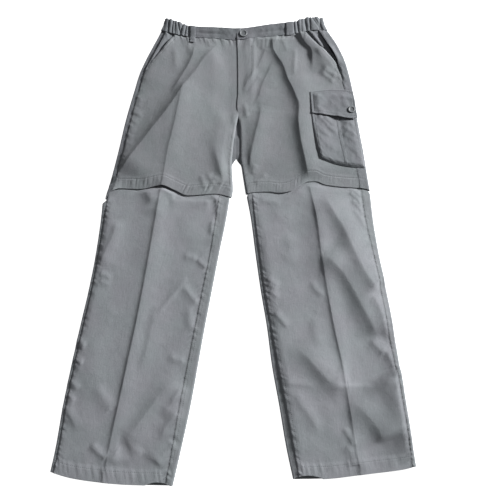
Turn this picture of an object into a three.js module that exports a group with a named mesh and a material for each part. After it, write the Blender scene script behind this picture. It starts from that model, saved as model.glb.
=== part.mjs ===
// Convertible zip-off trousers in cotton twill, laid flat on a surface with the front up.
// Millimetres. +X points to the wearer's left, +Y from the hems to the waist, +Z up.
// The origin is the middle of the outline, on the surface that the trousers lie on.
import * as THREE from 'three';

// Driving dimensions
const CLOTH = 1.3;               // wall of one layer of twill with its seam allowances
const BAND_WALL = 2.0;           // waistband: two layers and the interlining
const GAP = 0.3;                 // between sewn neighbours
const LOFT = 6.5;                // height of two panels lying on each other
const EDGE_ROLL = 5;             // how far in from an edge the cloth starts to round down
const HEM_BAND = 23;             // turned-up hem of the shorts and of the lower legs
const HEM_RAISE = 0.7;           // extra thickness of a turned-up hem
const BAND_RAISE = 0.6;          // waistband's face above the panels
const FLY_LAP = 9;               // left front over right front
const FLY_LIFT = 1.7;            // how far the left front lies above the right one
const LEG_FLOOR = 1.7;           // lower leg's underside inside the shorts
const LEG_SLIM = 3.2;            // lower leg's height inside the shorts
const LEG_INSET = 3.4;           // lower leg's edge inside the shorts' edge
const SLIM_ROLL = 3;             // rounding of the lower leg's edge inside the shorts
const ZIP_TAPE = 18;             // height of the knee zip's tape and teeth
const CREASE_RAISE = 1.6;        // pressed front crease above the panel
const CREASE_WIDTH = 9;
const TROUGH_LIMIT = 3.3;        // deepest trough, just clear of the back panel
const SEAT_LEVEL = CLOTH + GAP;  // where a front panel's rolled edge meets the back panel

const twill = new THREE.MeshStandardMaterial({ color: 0x7f8687, roughness: 0.9, metalness: 0 });
const twillDark = new THREE.MeshStandardMaterial({ color: 0x6f7677, roughness: 0.92, metalness: 0 });
const zipTape = new THREE.MeshStandardMaterial({ color: 0x4b5051, roughness: 0.8, metalness: 0 });
const horn = new THREE.MeshStandardMaterial({ color: 0x6a6f70, roughness: 0.45, metalness: 0 });

// Outline of the shorts, side edge and side seam, knee to waist, with the front crease.
const SHORTS = {
  right: [
    { y: 60, edge: -295, seam: -283, crease: -172 },
    { y: 100, edge: -287, seam: -275, crease: -166 },
    { y: 180, edge: -272, seam: -259, crease: -155 },
    { y: 260, edge: -259, seam: -246, crease: -139 },
    { y: 340, edge: -242, seam: -230, crease: -127 },
    { y: 380, edge: -233, seam: -221, crease: -122 },
    { y: 420, edge: -219, seam: -205, crease: -117 },
    { y: 460, edge: -202, seam: -187, crease: -112 },
    { y: 500, edge: -185, seam: -171, crease: -108 },
    { y: 540, edge: -175, seam: -162, crease: -104 },
  ],
  left: [
    { y: 60, edge: 308, seam: 285, crease: 174 },
    { y: 100, edge: 303, seam: 280, crease: 168 },
    { y: 180, edge: 295, seam: 271, crease: 157 },
    { y: 260, edge: 285, seam: 264, crease: 151 },
    { y: 340, edge: 277, seam: 257, crease: 135 },
    { y: 380, edge: 270, seam: 250, crease: 119 },
    { y: 420, edge: 260, seam: 240, crease: 103 },
    { y: 460, edge: 244, seam: 221, crease: 90 },
    { y: 500, edge: 223, seam: 201, crease: 80 },
    { y: 540, edge: 211, seam: 190, crease: 74 },
  ],
};

// Middle of the garment: where the fronts end beside the fly and the crotch, and where the backs meet.
const MIDDLE = [
  { y: 60, frontRight: -12, frontLeft: 27, backRight: -12, backLeft: 27 },
  { y: 90, frontRight: -6, frontLeft: 22, backRight: -6, backLeft: 22 },
  { y: 129, frontRight: -8, frontLeft: 16, backRight: -8, backLeft: 16 },
  { y: 148, frontRight: -9, frontLeft: 13, backRight: -9, backLeft: 13 },
  { y: 158, frontRight: -9, frontLeft: 11, backRight: -4, backLeft: 6 },
  { y: 168, frontRight: -8, frontLeft: 10, backRight: 1, backLeft: 1 },
  { y: 200, frontRight: -5, frontLeft: 10, backRight: 1, backLeft: 1 },
  { y: 240, frontRight: 0, frontLeft: 9, backRight: 1, backLeft: 1 },
  { y: 275, frontRight: 5, frontLeft: 5, backRight: 1, backLeft: 1 },
  { y: 300, frontRight: 3, frontLeft: 3, backRight: 1, backLeft: 1 },
  { y: 330, frontRight: 5, frontLeft: 5, backRight: 1, backLeft: 1 },
  { y: 420, frontRight: 4, frontLeft: 4, backRight: 1, backLeft: 1 },
  { y: 510, frontRight: 0, frontLeft: 0, backRight: 1, backLeft: 1 },
];

// Slanted mouths of the hip pockets: the front panels' outer border near the waist.
// The first row lies outside the side seam, which is the border below the mouth.
const POCKET_MOUTH = {
  right: [
    { y: 60, x: -320 }, { y: 383, x: -222 }, { y: 407, x: -210 },
    { y: 436, x: -187 }, { y: 455, x: -173 }, { y: 500, x: -142 },
  ],
  left: [
    { y: 60, x: 330 }, { y: 350, x: 258 }, { y: 379, x: 250 }, { y: 404, x: 241 },
    { y: 439, x: 214 }, { y: 461, x: 193 }, { y: 500, x: 160 },
  ],
};

// Outline and seams of the lower legs, hem to knee.
const LEG = {
  right: [
    { y: -540, edge: -373, seam: -365, crease: -260, innerSeam: -136, inner: -122 },
    { y: -460, edge: -361, seam: -353, crease: -251, innerSeam: -124, inner: -105 },
    { y: -380, edge: -353, seam: -345, crease: -239, innerSeam: -112, inner: -89 },
    { y: -300, edge: -342, seam: -334, crease: -227, innerSeam: -98.5, inner: -76 },
    { y: -220, edge: -330, seam: -322, crease: -215, innerSeam: -84.5, inner: -63 },
    { y: -140, edge: -317, seam: -309, crease: -201, innerSeam: -70, inner: -49 },
    { y: -60, edge: -307, seam: -299, crease: -188, innerSeam: -55.5, inner: -35 },
    { y: 20, edge: -301, seam: -292, crease: -177, innerSeam: -44, inner: -20 },
    { y: 100, edge: -298, seam: -286, crease: -166, innerSeam: -34, inner: -8 },
  ],
  left: [
    { y: -540, edge: 373, seam: 364, crease: 256, innerSeam: 135, inner: 123 },
    { y: -460, edge: 362, seam: 353.5, crease: 248, innerSeam: 121, inner: 106 },
    { y: -380, edge: 353.5, seam: 344.5, crease: 238, innerSeam: 107, inner: 93 },
    { y: -300, edge: 346, seam: 335.5, crease: 225, innerSeam: 92, inner: 79 },
    { y: -220, edge: 338, seam: 324, crease: 212, innerSeam: 78, inner: 69 },
    { y: -140, edge: 328, seam: 314, crease: 201, innerSeam: 65, inner: 56 },
    { y: -60, edge: 316, seam: 302, crease: 190, innerSeam: 54, inner: 45 },
    { y: 20, edge: 308, seam: 289, crease: 180, innerSeam: 44, inner: 35 },
    { y: 100, edge: 304, seam: 283, crease: 168, innerSeam: 36, inner: 20 },
  ],
};

// Lower edge of the shorts' hem flap and of the leg hems, and the waistband's seam and top edge.
const FLAP_EDGE = {
  right: [
    { x: -296, y: 66 }, { x: -279, y: 84 }, { x: -262, y: 92 }, { x: -216, y: 90 }, { x: -167, y: 98 },
    { x: -137, y: 87 }, { x: -107, y: 75 }, { x: -46, y: 79 }, { x: -8, y: 71 },
  ],
  left: [
    { x: 22, y: 79 }, { x: 44, y: 83 }, { x: 74, y: 84 }, { x: 101, y: 81 }, { x: 124, y: 85 },
    { x: 146, y: 98 }, { x: 165, y: 108 }, { x: 181, y: 109 }, { x: 203, y: 101 }, { x: 237, y: 96 },
    { x: 287, y: 92 }, { x: 308, y: 87 },
  ],
};
const LEG_HEM = {
  right: [
    { x: -368, y: -508 }, { x: -321, y: -520 }, { x: -259, y: -528 }, { x: -206, y: -532 }, { x: -121, y: -534 },
  ],
  left: [
    { x: 121, y: -522 }, { x: 180, y: -521 }, { x: 265, y: -512 }, { x: 335, y: -504 }, { x: 368, y: -497 },
  ],
};
const WAIST_SEAM = [
  { x: -185, y: 502 }, { x: -155, y: 492 }, { x: -125, y: 485 }, { x: -101, y: 481 }, { x: -56, y: 479 },
  { x: -16, y: 475 }, { x: 4, y: 474 }, { x: 33, y: 478 }, { x: 94, y: 486 }, { x: 138, y: 491 },
  { x: 160, y: 496 }, { x: 180, y: 500 }, { x: 202, y: 502 }, { x: 222, y: 501.5 },
];
// Places from the side to the middle where the back's waist seam changes direction: straight between them.
const BACK_KNOTS = { right: [-180, -144, -107, -71, -35, 1], left: [218, 174, 131, 88, 44, 1] };
const BACK_SEAM_KNOTS = [...BACK_KNOTS.right, ...BACK_KNOTS.left.slice(0, -1).reverse()];
const WAIST_TOP = [
  { x: -177, y: 535 }, { x: -151, y: 527 }, { x: -126, y: 517 }, { x: -101, y: 511 }, { x: -42, y: 508 },
  { x: 1, y: 505 }, { x: 33, y: 509 }, { x: 94, y: 519 }, { x: 139, y: 525 }, { x: 173, y: 536 }, { x: 213, y: 537 },
];

// Largest folds of the front: soft ridges (height above 0) and troughs (below 0) along straight strokes.
const FOLDS = {
  right: [
    { x0: -40, y0: 468, x1: -124, y1: 348, width: 13, height: -2.2 },
    { x0: -124, y0: 348, x1: -248, y1: 152, width: 17, height: -2.0 },
    { x0: -60, y0: 462, x1: -145, y1: 330, width: 15, height: 1.6 },
    { x0: -106, y0: 450, x1: -142, y1: 360, width: 12, height: -1.8 },
    { x0: -20, y0: 280, x1: -30, y1: 170, width: 15, height: -1.8 },
    { x0: -52, y0: 210, x1: -44, y1: 130, width: 14, height: 1.4 },
    { x0: -268, y0: 220, x1: -236, y1: 190, width: 12, height: 1.6 },
  ],
  left: [
    { x0: 86, y0: 462, x1: 88, y1: 428, width: 13, height: -2.2 },
    { x0: 88, y0: 428, x1: 146, y1: 300, width: 14, height: -2.4 },
    { x0: 110, y0: 440, x1: 168, y1: 312, width: 16, height: 2.0 },
    { x0: 84, y0: 420, x1: 38, y1: 285, width: 12, height: -1.4 },
    { x0: 60, y0: 290, x1: 34, y1: 150, width: 13, height: -1.8 },
    { x0: 178, y0: 440, x1: 182, y1: 386, width: 12, height: -2.3 },
    { x0: 206, y0: 424, x1: 236, y1: 384, width: 15, height: 4.0 },
    { x0: 190, y0: 446, x1: 214, y1: 424, width: 12, height: 3.0 },
  ],
  legRight: [
    { x0: -140, y0: 60, x1: -30, y1: 62, width: 14, height: 1.2 },
    { x0: -90, y0: -115, x1: -164, y1: -205, width: 15, height: 1.8 },
    { x0: -104, y0: -330, x1: -220, y1: -430, width: 17, height: -2.0 },
    { x0: -116, y0: -390, x1: -150, y1: -445, width: 14, height: 1.6 },
    { x0: -262, y0: -20, x1: -292, y1: -80, width: 15, height: -1.6 },
    { x0: -286, y0: -300, x1: -262, y1: -370, width: 16, height: -1.5 },
    { x0: -238, y0: -455, x1: -190, y1: -455, width: 13, height: 1.5 },
  ],
  legLeft: [
    { x0: 196, y0: 48, x1: 252, y1: -60, width: 15, height: -2.0 },
    { x0: 252, y0: -60, x1: 322, y1: -130, width: 15, height: -2.0 },
    { x0: 205, y0: -50, x1: 270, y1: -160, width: 15, height: 2.0 },
    { x0: 270, y0: -160, x1: 316, y1: -245, width: 15, height: 1.8 },
    { x0: 140, y0: 70, x1: 76, y1: 20, width: 16, height: -1.6 },
    { x0: 118, y0: -260, x1: 206, y1: -340, width: 15, height: -2.2 },
    { x0: 104, y0: -180, x1: 150, y1: -230, width: 13, height: 1.6 },
    { x0: 120, y0: -332, x1: 290, y1: -336, width: 12, height: 1.6 },
    { x0: 250, y0: -380, x1: 300, y1: -460, width: 15, height: -1.8 },
    { x0: 320, y0: -330, x1: 346, y1: -440, width: 14, height: 1.8 },
  ],
};

// Places on the shorts where the cloth lies calm, because something is sewn on there.
const CALM = {
  right: [
    { x0: -120, x1: -94, y0: 458, y1: 520 },
    { x0: -30, x1: 60, y0: 284, y1: 520 },
    { x0: -60, x1: 20, y0: 60, y1: 100 },
  ],
  left: [
    { x0: 114, x1: 146, y0: 466, y1: 530 },
    { x0: -30, x1: 60, y0: 284, y1: 520 },
    { x0: 160, x1: 320, y0: 130, y1: 346 },
  ],
};
const CALM_BORDER = 14;

// Direction from the middle of the garment to each side.
const OUTWARD = { right: -1, left: 1 };
const FRONT_EDGE = { right: 'frontRight', left: 'frontLeft' };
const BACK_EDGE = { right: 'backRight', left: 'backLeft' };
const CREASE_TOP = { right: 345, left: 305 };

// Nominal rows, which bend to follow the waist seam above and the hems below.
const WAIST_ROW = 490;
const FLAP_ROW = 75;
const LEG_ROW = 81;
const HEM_ROW = -520;
const BEND = 100;
const KNEE_LINE = { right: 103, left: 114 };   // level top edge of each lower leg, hidden under the flap

function smoothstep(from, to, at) {
  const t = Math.min(1, Math.max(0, (at - from) / (to - from)));
  return t * t * (3 - 2 * t);
}

function mix(a, b, t) {
  return a + (b - a) * t;
}

// Value of one column of a table at a place along its key column, by a monotone cubic curve.
function along(rows, key, name, at) {
  const last = rows.length - 1;
  if (at <= rows[0][key]) return rows[0][name];
  if (at >= rows[last][key]) return rows[last][name];
  let i = 0;
  while (rows[i + 1][key] < at) i += 1;
  const slope = (j) => (rows[j + 1][name] - rows[j][name]) / (rows[j + 1][key] - rows[j][key]);
  const tangent = (j) => {
    if (j === 0) return slope(0);
    if (j === last) return slope(last - 1);
    const before = slope(j - 1);
    const after = slope(j);
    return before * after <= 0 ? 0 : (2 * before * after) / (before + after);
  };
  const span = rows[i + 1][key] - rows[i][key];
  const t = (at - rows[i][key]) / span;
  const t2 = t * t;
  const t3 = t2 * t;
  return (2 * t3 - 3 * t2 + 1) * rows[i][name] + (t3 - 2 * t2 + t) * span * tangent(i)
    + (3 * t2 - 2 * t3) * rows[i + 1][name] + (t3 - t2) * span * tangent(i + 1);
}

// Sum of the folds at a point: each one fades to both sides of its stroke and past its ends.
function foldHeight(folds, x, y) {
  let sum = 0;
  for (const fold of folds) {
    const dx = fold.x1 - fold.x0;
    const dy = fold.y1 - fold.y0;
    const t = Math.min(1, Math.max(0, ((x - fold.x0) * dx + (y - fold.y0) * dy) / (dx * dx + dy * dy)));
    const distance = Math.hypot(x - fold.x0 - t * dx, y - fold.y0 - t * dy);
    sum += fold.height * Math.exp(-((distance / fold.width) ** 2));
  }
  return sum < 0 ? -TROUGH_LIMIT * Math.tanh(-sum / TROUGH_LIMIT) : sum;
}

function calmness(side, x, y) {
  let calm = 1;
  for (const zone of CALM[side]) {
    const inX = smoothstep(zone.x0 - CALM_BORDER, zone.x0, x) * (1 - smoothstep(zone.x1, zone.x1 + CALM_BORDER, x));
    const inY = smoothstep(zone.y0 - CALM_BORDER, zone.y0, y) * (1 - smoothstep(zone.y1, zone.y1 + CALM_BORDER, y));
    calm *= 1 - inX * inY;
  }
  return calm;
}

// A closed wall between an outer and an inner face, both given by pointAt(column, row, inner).
function wall(name, material, columns, rows, pointAt, ring = false) {
  const positions = [];
  for (const inner of [false, true]) {
    for (const row of rows) {
      for (const column of columns) positions.push(...pointAt(column, row, inner));
    }
  }
  const wide = columns.length;
  const tall = rows.length;
  const index = (i, j, layer) => layer * wide * tall + j * wide + (i % wide);
  const faces = [];
  const quad = (a, b, c, d) => faces.push(a, b, c, a, c, d);
  const lastColumn = ring ? wide : wide - 1;
  for (let j = 0; j < tall - 1; j += 1) {
    for (let i = 0; i < lastColumn; i += 1) {
      quad(index(i, j, 0), index(i + 1, j, 0), index(i + 1, j + 1, 0), index(i, j + 1, 0));
      quad(index(i, j, 1), index(i, j + 1, 1), index(i + 1, j + 1, 1), index(i + 1, j, 1));
    }
    if (!ring) {
      quad(index(0, j, 0), index(0, j + 1, 0), index(0, j + 1, 1), index(0, j, 1));
      quad(index(wide - 1, j, 1), index(wide - 1, j + 1, 1), index(wide - 1, j + 1, 0), index(wide - 1, j, 0));
    }
  }
  for (let i = 0; i < lastColumn; i += 1) {
    quad(index(i, 0, 1), index(i + 1, 0, 1), index(i + 1, 0, 0), index(i, 0, 0));
    quad(index(i, tall - 1, 0), index(i + 1, tall - 1, 0), index(i + 1, tall - 1, 1), index(i, tall - 1, 1));
  }
  return meshFrom(name, material, positions, faces);
}

// Turns a closed surface outside out, whichever way round its grid was walked.
function meshFrom(name, material, positions, faces) {
  const corner = (k) => new THREE.Vector3(positions[3 * k], positions[3 * k + 1], positions[3 * k + 2]);
  let volume = 0;
  for (let f = 0; f < faces.length; f += 3) {
    volume += corner(faces[f]).dot(corner(faces[f + 1]).cross(corner(faces[f + 2])));
  }
  if (volume < 0) {
    for (let f = 0; f < faces.length; f += 3) [faces[f], faces[f + 1]] = [faces[f + 1], faces[f]];
  }
  const geometry = new THREE.BufferGeometry();
  geometry.setAttribute('position', new THREE.Float32BufferAttribute(positions, 3));
  geometry.setIndex(faces);
  geometry.computeVertexNormals();
  const mesh = new THREE.Mesh(geometry, material);
  mesh.name = name;
  return mesh;
}

function range(from, to, steps) {
  return Array.from({ length: steps + 1 }, (_, i) => mix(from, to, i / steps));
}

// Lower edge of the shorts: the flap follows its curve on top and runs straight underneath.
function flapEdge(side, x, under) {
  const rows = FLAP_EDGE[side];
  const first = rows[0];
  const end = rows[rows.length - 1];
  const straight = mix(first.y, end.y, (x - first.x) / (end.x - first.x));
  return mix(along(rows, 'x', 'y', x), straight, under);
}

function waistSeam(x, under) {
  if (under < 1) return along(WAIST_SEAM, 'x', 'y', x);
  const next = Math.max(1, BACK_SEAM_KNOTS.findIndex((knot) => knot >= x));
  const [x0, x1] = BACK_SEAM_KNOTS.slice(next - 1, next + 1);
  return mix(along(WAIST_SEAM, 'x', 'y', x0), along(WAIST_SEAM, 'x', 'y', x1), (x - x0) / (x1 - x0));
}

function shortsRow(side, x, row, under) {
  const waist = (waistSeam(x, under) - GAP / 2 - WAIST_ROW) * smoothstep(WAIST_ROW - BEND, WAIST_ROW, row);
  const flap = (flapEdge(side, x, under) - FLAP_ROW) * (1 - smoothstep(FLAP_ROW, FLAP_ROW + BEND, row));
  return row + waist + flap;
}

// How far the fronts round down beside the crotch: not at all at the fly, wholly along the inner legs.
function crotchRoll(y) {
  return 1 - smoothstep(235, 275, y);
}

function flyLift(side, x, y, lift) {
  if (side === 'right') return 0;
  const fly = along(MIDDLE, 'y', 'frontLeft', y);
  return lift * (1 - smoothstep(fly + 28, fly + 48, x)) * smoothstep(276, 292, y);
}

// Height of the shorts' face, with folds, crease and the overlap at the fly.
function shortsTop(side, x, y) {
  const edge = along(SHORTS[side], 'y', 'edge', y);
  const middle = along(MIDDLE, 'y', FRONT_EDGE[side], y);
  const fromEdge = smoothstep(EDGE_ROLL, EDGE_ROLL + 20, Math.abs(x - edge));
  const fromMiddle = mix(1, smoothstep(EDGE_ROLL, EDGE_ROLL + 20, Math.abs(x - middle)), crotchRoll(y));
  const crease = along(SHORTS[side], 'y', 'crease', y);
  const pressed = CREASE_RAISE * Math.exp(-Math.abs(x - crease) / CREASE_WIDTH)
    * (1 - smoothstep(CREASE_TOP[side] - 30, CREASE_TOP[side], y));
  const folds = foldHeight(FOLDS[side], x, y) * fromEdge * fromMiddle * calmness(side, x, y);
  return LOFT + folds + pressed + flyLift(side, x, y, FLY_LIFT);
}

// Outer border of a front panel: the side seam, and the pocket's mouth above it.
function frontBorder(side, y) {
  const seam = along(SHORTS[side], 'y', 'seam', y);
  const mouth = along(POCKET_MOUTH[side], 'y', 'x', y);
  return side === 'right' ? Math.max(seam, mouth) : Math.min(seam, mouth);
}

function frontInner(side, y) {
  const line = along(MIDDLE, 'y', FRONT_EDGE[side], y);
  if (side === 'left') return line + GAP / 2;
  return line - GAP / 2 + FLY_LAP * smoothstep(292, 330, y);
}

// Stations across a shorts front: 'outer' from the border to the crease, 'inner' on to the edge, 'roll' down.
const FRONT_COLUMNS = [
  ...range(0, 1, 6).map((t) => ({ part: 'outer', t })),
  ...range(0, 1, 7).slice(1).map((t) => ({ part: 'inner', t })),
  ...range(0, 1, 3).slice(1).map((t) => ({ part: 'roll', t })),
];
const FRONT_ROWS = [
  ...range(WAIST_ROW, 310, 9), 300, 292, 275, 258, 240, 220, 200, 182, 165, 148, 130, 114,
  FLAP_ROW + HEM_BAND + 1, FLAP_ROW + HEM_BAND - 1, FLAP_ROW,
];

function shortsFront(side) {
  const outward = OUTWARD[side];
  return wall(`shorts_front_${side}`, twill, FRONT_COLUMNS, FRONT_ROWS, (column, row, inner) => {
    let x = 0;
    let y = row;
    for (let pass = 0; pass < 3; pass += 1) {
      const rollStart = frontInner(side, y) + outward * EDGE_ROLL;
      const crease = along(SHORTS[side], 'y', 'crease', y);
      if (column.part === 'outer') x = mix(frontBorder(side, y) - outward * GAP / 2, crease, column.t);
      else if (column.part === 'inner') x = mix(crease, rollStart, column.t);
      else x = rollStart - outward * EDGE_ROLL * column.t;
      y = shortsRow(side, x, row, 0);
    }
    const deep = inner ? CLOTH : 0;
    const hem = !inner && row < FLAP_ROW + HEM_BAND ? HEM_RAISE : 0;
    if (column.part !== 'roll') return [x, y, shortsTop(side, x, y) - deep + hem];
    const rolled = crotchRoll(y);
    const turn = column.t * Math.PI / 2;
    const height = LOFT - SEAT_LEVEL;
    const start = x + outward * EDGE_ROLL * column.t;
    const rollX = start - outward * (EDGE_ROLL - deep) * Math.sin(turn);
    const rollZ = SEAT_LEVEL + (height - deep) * Math.cos(turn);
    const flatZ = shortsTop(side, x, y) - deep;
    return [mix(x, rollX, rolled), y, mix(flatZ, rollZ, rolled) + hem * (1 - column.t)];
  });
}

// Stations round the outer edge of a shorts back: 'top', 'edge' and 'under'.
const UNDER_STEPS = 5;
const BACK_COLUMNS = [
  ...range(0, 1, 2).map((t) => ({ part: 'top', t })),
  ...range(0, 1, 6).slice(1, -1).map((t) => ({ part: 'edge', t })),
  ...range(0, 1, UNDER_STEPS).map((t) => ({ part: 'under', t })),
];
const BACK_ROWS = [
  ...range(WAIST_ROW, 310, 9), 275, 240, 200, 172, 164, 156, 148, 125, FLAP_ROW + HEM_BAND, FLAP_ROW,
];

function shortsBack(side) {
  const outward = OUTWARD[side];
  return wall(`shorts_back_${side}`, twill, BACK_COLUMNS, BACK_ROWS, (column, row, inner) => {
    const deep = inner ? CLOTH : 0;
    let x = 0;
    let y = row;
    let z = 0;
    for (let pass = 0; pass < 3; pass += 1) {
      const edge = along(SHORTS[side], 'y', 'edge', y);
      const rollStart = edge - outward * EDGE_ROLL;
      const seam = along(SHORTS[side], 'y', 'seam', y) + outward * GAP / 2;
      let under = 0;
      if (column.part === 'top') {
        x = mix(seam, rollStart, column.t);
        z = LOFT - deep;
      } else if (column.part === 'edge') {
        const turn = column.t * Math.PI;
        x = rollStart + outward * (EDGE_ROLL - deep) * Math.sin(turn);
        z = LOFT / 2 + (LOFT / 2 - deep) * Math.cos(turn);
        under = column.t;
      } else {
        const middle = along(MIDDLE, 'y', BACK_EDGE[side], y);
        x = mix(rollStart, middle, column.t);
        if (row === WAIST_ROW) x = BACK_KNOTS[side][Math.round(column.t * UNDER_STEPS)];
        if (column.t === 1) x += outward * GAP / 2;
        z = deep;
        under = 1;
      }
      y = shortsRow(side, x, row, under);
    }
    return [x, y, z];
  });
}

// Height of a lower leg's face and its floor: slim inside the shorts, full below the flap.
function legTop(side, x, y, below) {
  const folds = FOLDS[side === 'right' ? 'legRight' : 'legLeft'];
  const edge = along(LEG[side], 'y', 'edge', y);
  const inner = along(LEG[side], 'y', 'inner', y);
  const fromEdges = smoothstep(EDGE_ROLL, EDGE_ROLL + 18, Math.abs(x - edge))
    * smoothstep(EDGE_ROLL, EDGE_ROLL + 18, Math.abs(x - inner));
  const free = smoothstep(3, 28, below);
  const crease = along(LEG[side], 'y', 'crease', y);
  const pressed = CREASE_RAISE * Math.exp(-Math.abs(x - crease) / CREASE_WIDTH);
  return legHeight(below) + (foldHeight(folds, x, y) * fromEdges + pressed) * free;
}

function legHeight(below) {
  return mix(LEG_FLOOR + LEG_SLIM, LOFT, smoothstep(2, 24, below));
}

function legFloor(below) {
  return LEG_FLOOR * (1 - smoothstep(1, 12, below));
}

function legRow(side, x, row, under) {
  if (row === LEG_ROW) return KNEE_LINE[side];
  const flap = (flapEdge(side, x, under) - FLAP_ROW) * smoothstep(FLAP_ROW - BEND, FLAP_ROW, row);
  const hem = (along(LEG_HEM[side], 'x', 'y', x) - HEM_ROW) * (1 - smoothstep(HEM_ROW, HEM_ROW + BEND, row));
  return row + flap + hem;
}

// Outline of a lower leg at a height: its edges step in where it enters the shorts.
function legEdges(side, y, below) {
  const outward = OUTWARD[side];
  const outside = smoothstep(1, 10, below);
  const edgeIn = along(SHORTS[side], 'y', 'edge', y) - outward * LEG_INSET;
  const innerIn = along(MIDDLE, 'y', FRONT_EDGE[side], y) + outward * LEG_INSET;
  const roll = mix(SLIM_ROLL, EDGE_ROLL, smoothstep(2, 20, below));
  const edge = mix(edgeIn, along(LEG[side], 'y', 'edge', y), outside);
  const inner = mix(innerIn, along(LEG[side], 'y', 'inner', y), outside);
  return { edge, inner, roll };
}

// Side seam of a lower leg, kept on the flat top where the edge steps in.
function legSeam(side, y, below) {
  const { edge, roll } = legEdges(side, y, below);
  const limit = edge - OUTWARD[side] * (roll + 1);
  const seam = along(LEG[side], 'y', 'seam', y);
  return side === 'right' ? Math.max(seam, limit) : Math.min(seam, limit);
}

const LEG_FRONT_COLUMNS = [
  ...range(0, 1, 5).map((t) => ({ part: 'outer', t })),
  ...range(0, 1, 6).slice(1).map((t) => ({ part: 'inner', t })),
];
const LEG_TOP_ROWS = [LEG_ROW, FLAP_ROW + 1, FLAP_ROW - 6, FLAP_ROW - 13, FLAP_ROW - 24];
const LEG_HEM_ROWS = [HEM_ROW + HEM_BAND + 1, HEM_ROW + HEM_BAND - 1, HEM_ROW];
const LEG_FRONT_ROWS = [...LEG_TOP_ROWS, ...range(FLAP_ROW - 42, HEM_ROW + 42, 20), ...LEG_HEM_ROWS];
const LEG_BACK_ROWS = [...LEG_TOP_ROWS, ...range(FLAP_ROW - 42, HEM_ROW + 42, 10), ...LEG_HEM_ROWS];

function legFront(side) {
  const outward = OUTWARD[side];
  return wall(`leg_front_${side}`, twill, LEG_FRONT_COLUMNS, LEG_FRONT_ROWS, (column, row, inner) => {
    let x = 0;
    let y = row;
    let below = 0;
    for (let pass = 0; pass < 3; pass += 1) {
      const crease = along(LEG[side], 'y', 'crease', y);
      const seam = legSeam(side, y, below) - outward * GAP / 2;
      const innerSeam = along(LEG[side], 'y', 'innerSeam', y) + outward * GAP / 2;
      x = column.part === 'outer' ? mix(seam, crease, column.t) : mix(crease, innerSeam, column.t);
      y = legRow(side, x, row, 0);
      below = flapEdge(side, x, 0) - y;
    }
    const hem = !inner && row < HEM_ROW + HEM_BAND ? HEM_RAISE : 0;
    return [x, y, legTop(side, x, y, below) + hem - (inner ? CLOTH : 0)];
  });
}

// Stations round a lower leg's back: over the outer edge, underneath, and over the inner edge to the inseam.
const LEG_BACK_COLUMNS = [
  ...range(0, 1, 1).map((t) => ({ part: 'outerTop', t })),
  ...range(0, 1, 6).slice(1, -1).map((t) => ({ part: 'outerEdge', t })),
  ...range(0, 1, 2).map((t) => ({ part: 'under', t })),
  ...range(0, 1, 6).slice(1, -1).map((t) => ({ part: 'innerEdge', t })),
  ...range(0, 1, 2).map((t) => ({ part: 'innerTop', t })),
];

function legBack(side) {
  const outward = OUTWARD[side];
  return wall(`leg_back_${side}`, twill, LEG_BACK_COLUMNS, LEG_BACK_ROWS, (column, row, inner) => {
    const deep = inner ? CLOTH : 0;
    const underAt = { outerTop: 0, outerEdge: column.t, under: 1, innerEdge: 1 - column.t, innerTop: 0 };
    const under = underAt[column.part];
    const onTop = column.part === 'outerTop' || column.part === 'innerTop';
    const hem = !inner && onTop && row < HEM_ROW + HEM_BAND ? HEM_RAISE : 0;
    let x = 0;
    let y = row;
    let z = 0;
    for (let pass = 0; pass < 3; pass += 1) {
      const below = flapEdge(side, x, under) - y;
      const { edge, inner: innerEdge, roll } = legEdges(side, y, below);
      const outerStart = edge - outward * roll;
      const innerStart = innerEdge + outward * roll;
      const high = legHeight(below);
      const low = legFloor(below);
      const turn = column.t * Math.PI;
      if (column.part === 'outerTop') {
        x = mix(legSeam(side, y, below) + outward * GAP / 2, outerStart, column.t);
      } else if (column.part === 'outerEdge') {
        x = outerStart + outward * (roll - deep) * Math.sin(turn);
        z = (high + low) / 2 + ((high - low) / 2 - deep) * Math.cos(turn);
      } else if (column.part === 'under') {
        x = mix(outerStart, innerStart, column.t);
        z = low + deep;
      } else if (column.part === 'innerEdge') {
        x = innerStart - outward * (roll - deep) * Math.sin(turn);
        z = (high + low) / 2 - ((high - low) / 2 - deep) * Math.cos(turn);
      } else {
        x = mix(innerStart, along(LEG[side], 'y', 'innerSeam', y) - outward * GAP / 2, column.t);
      }
      if (onTop) z = legTop(side, x, y, below) + hem - deep;
      y = legRow(side, x, row, under);
    }
    return [x, y, z];
  });
}

// Knee zip: closed tape and teeth all round the leg, between the lower leg's top edge and the shorts.
const ZIP_COLUMNS = [
  ...range(0, 1, 3).map((t) => ({ part: 'top', t })),
  ...range(0, 1, 5).slice(1, -1).map((t) => ({ part: 'innerEdge', t })),
  ...range(0, 1, 3).map((t) => ({ part: 'under', t })),
  ...range(0, 1, 5).slice(1, -1).map((t) => ({ part: 'outerEdge', t })),
];

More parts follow.
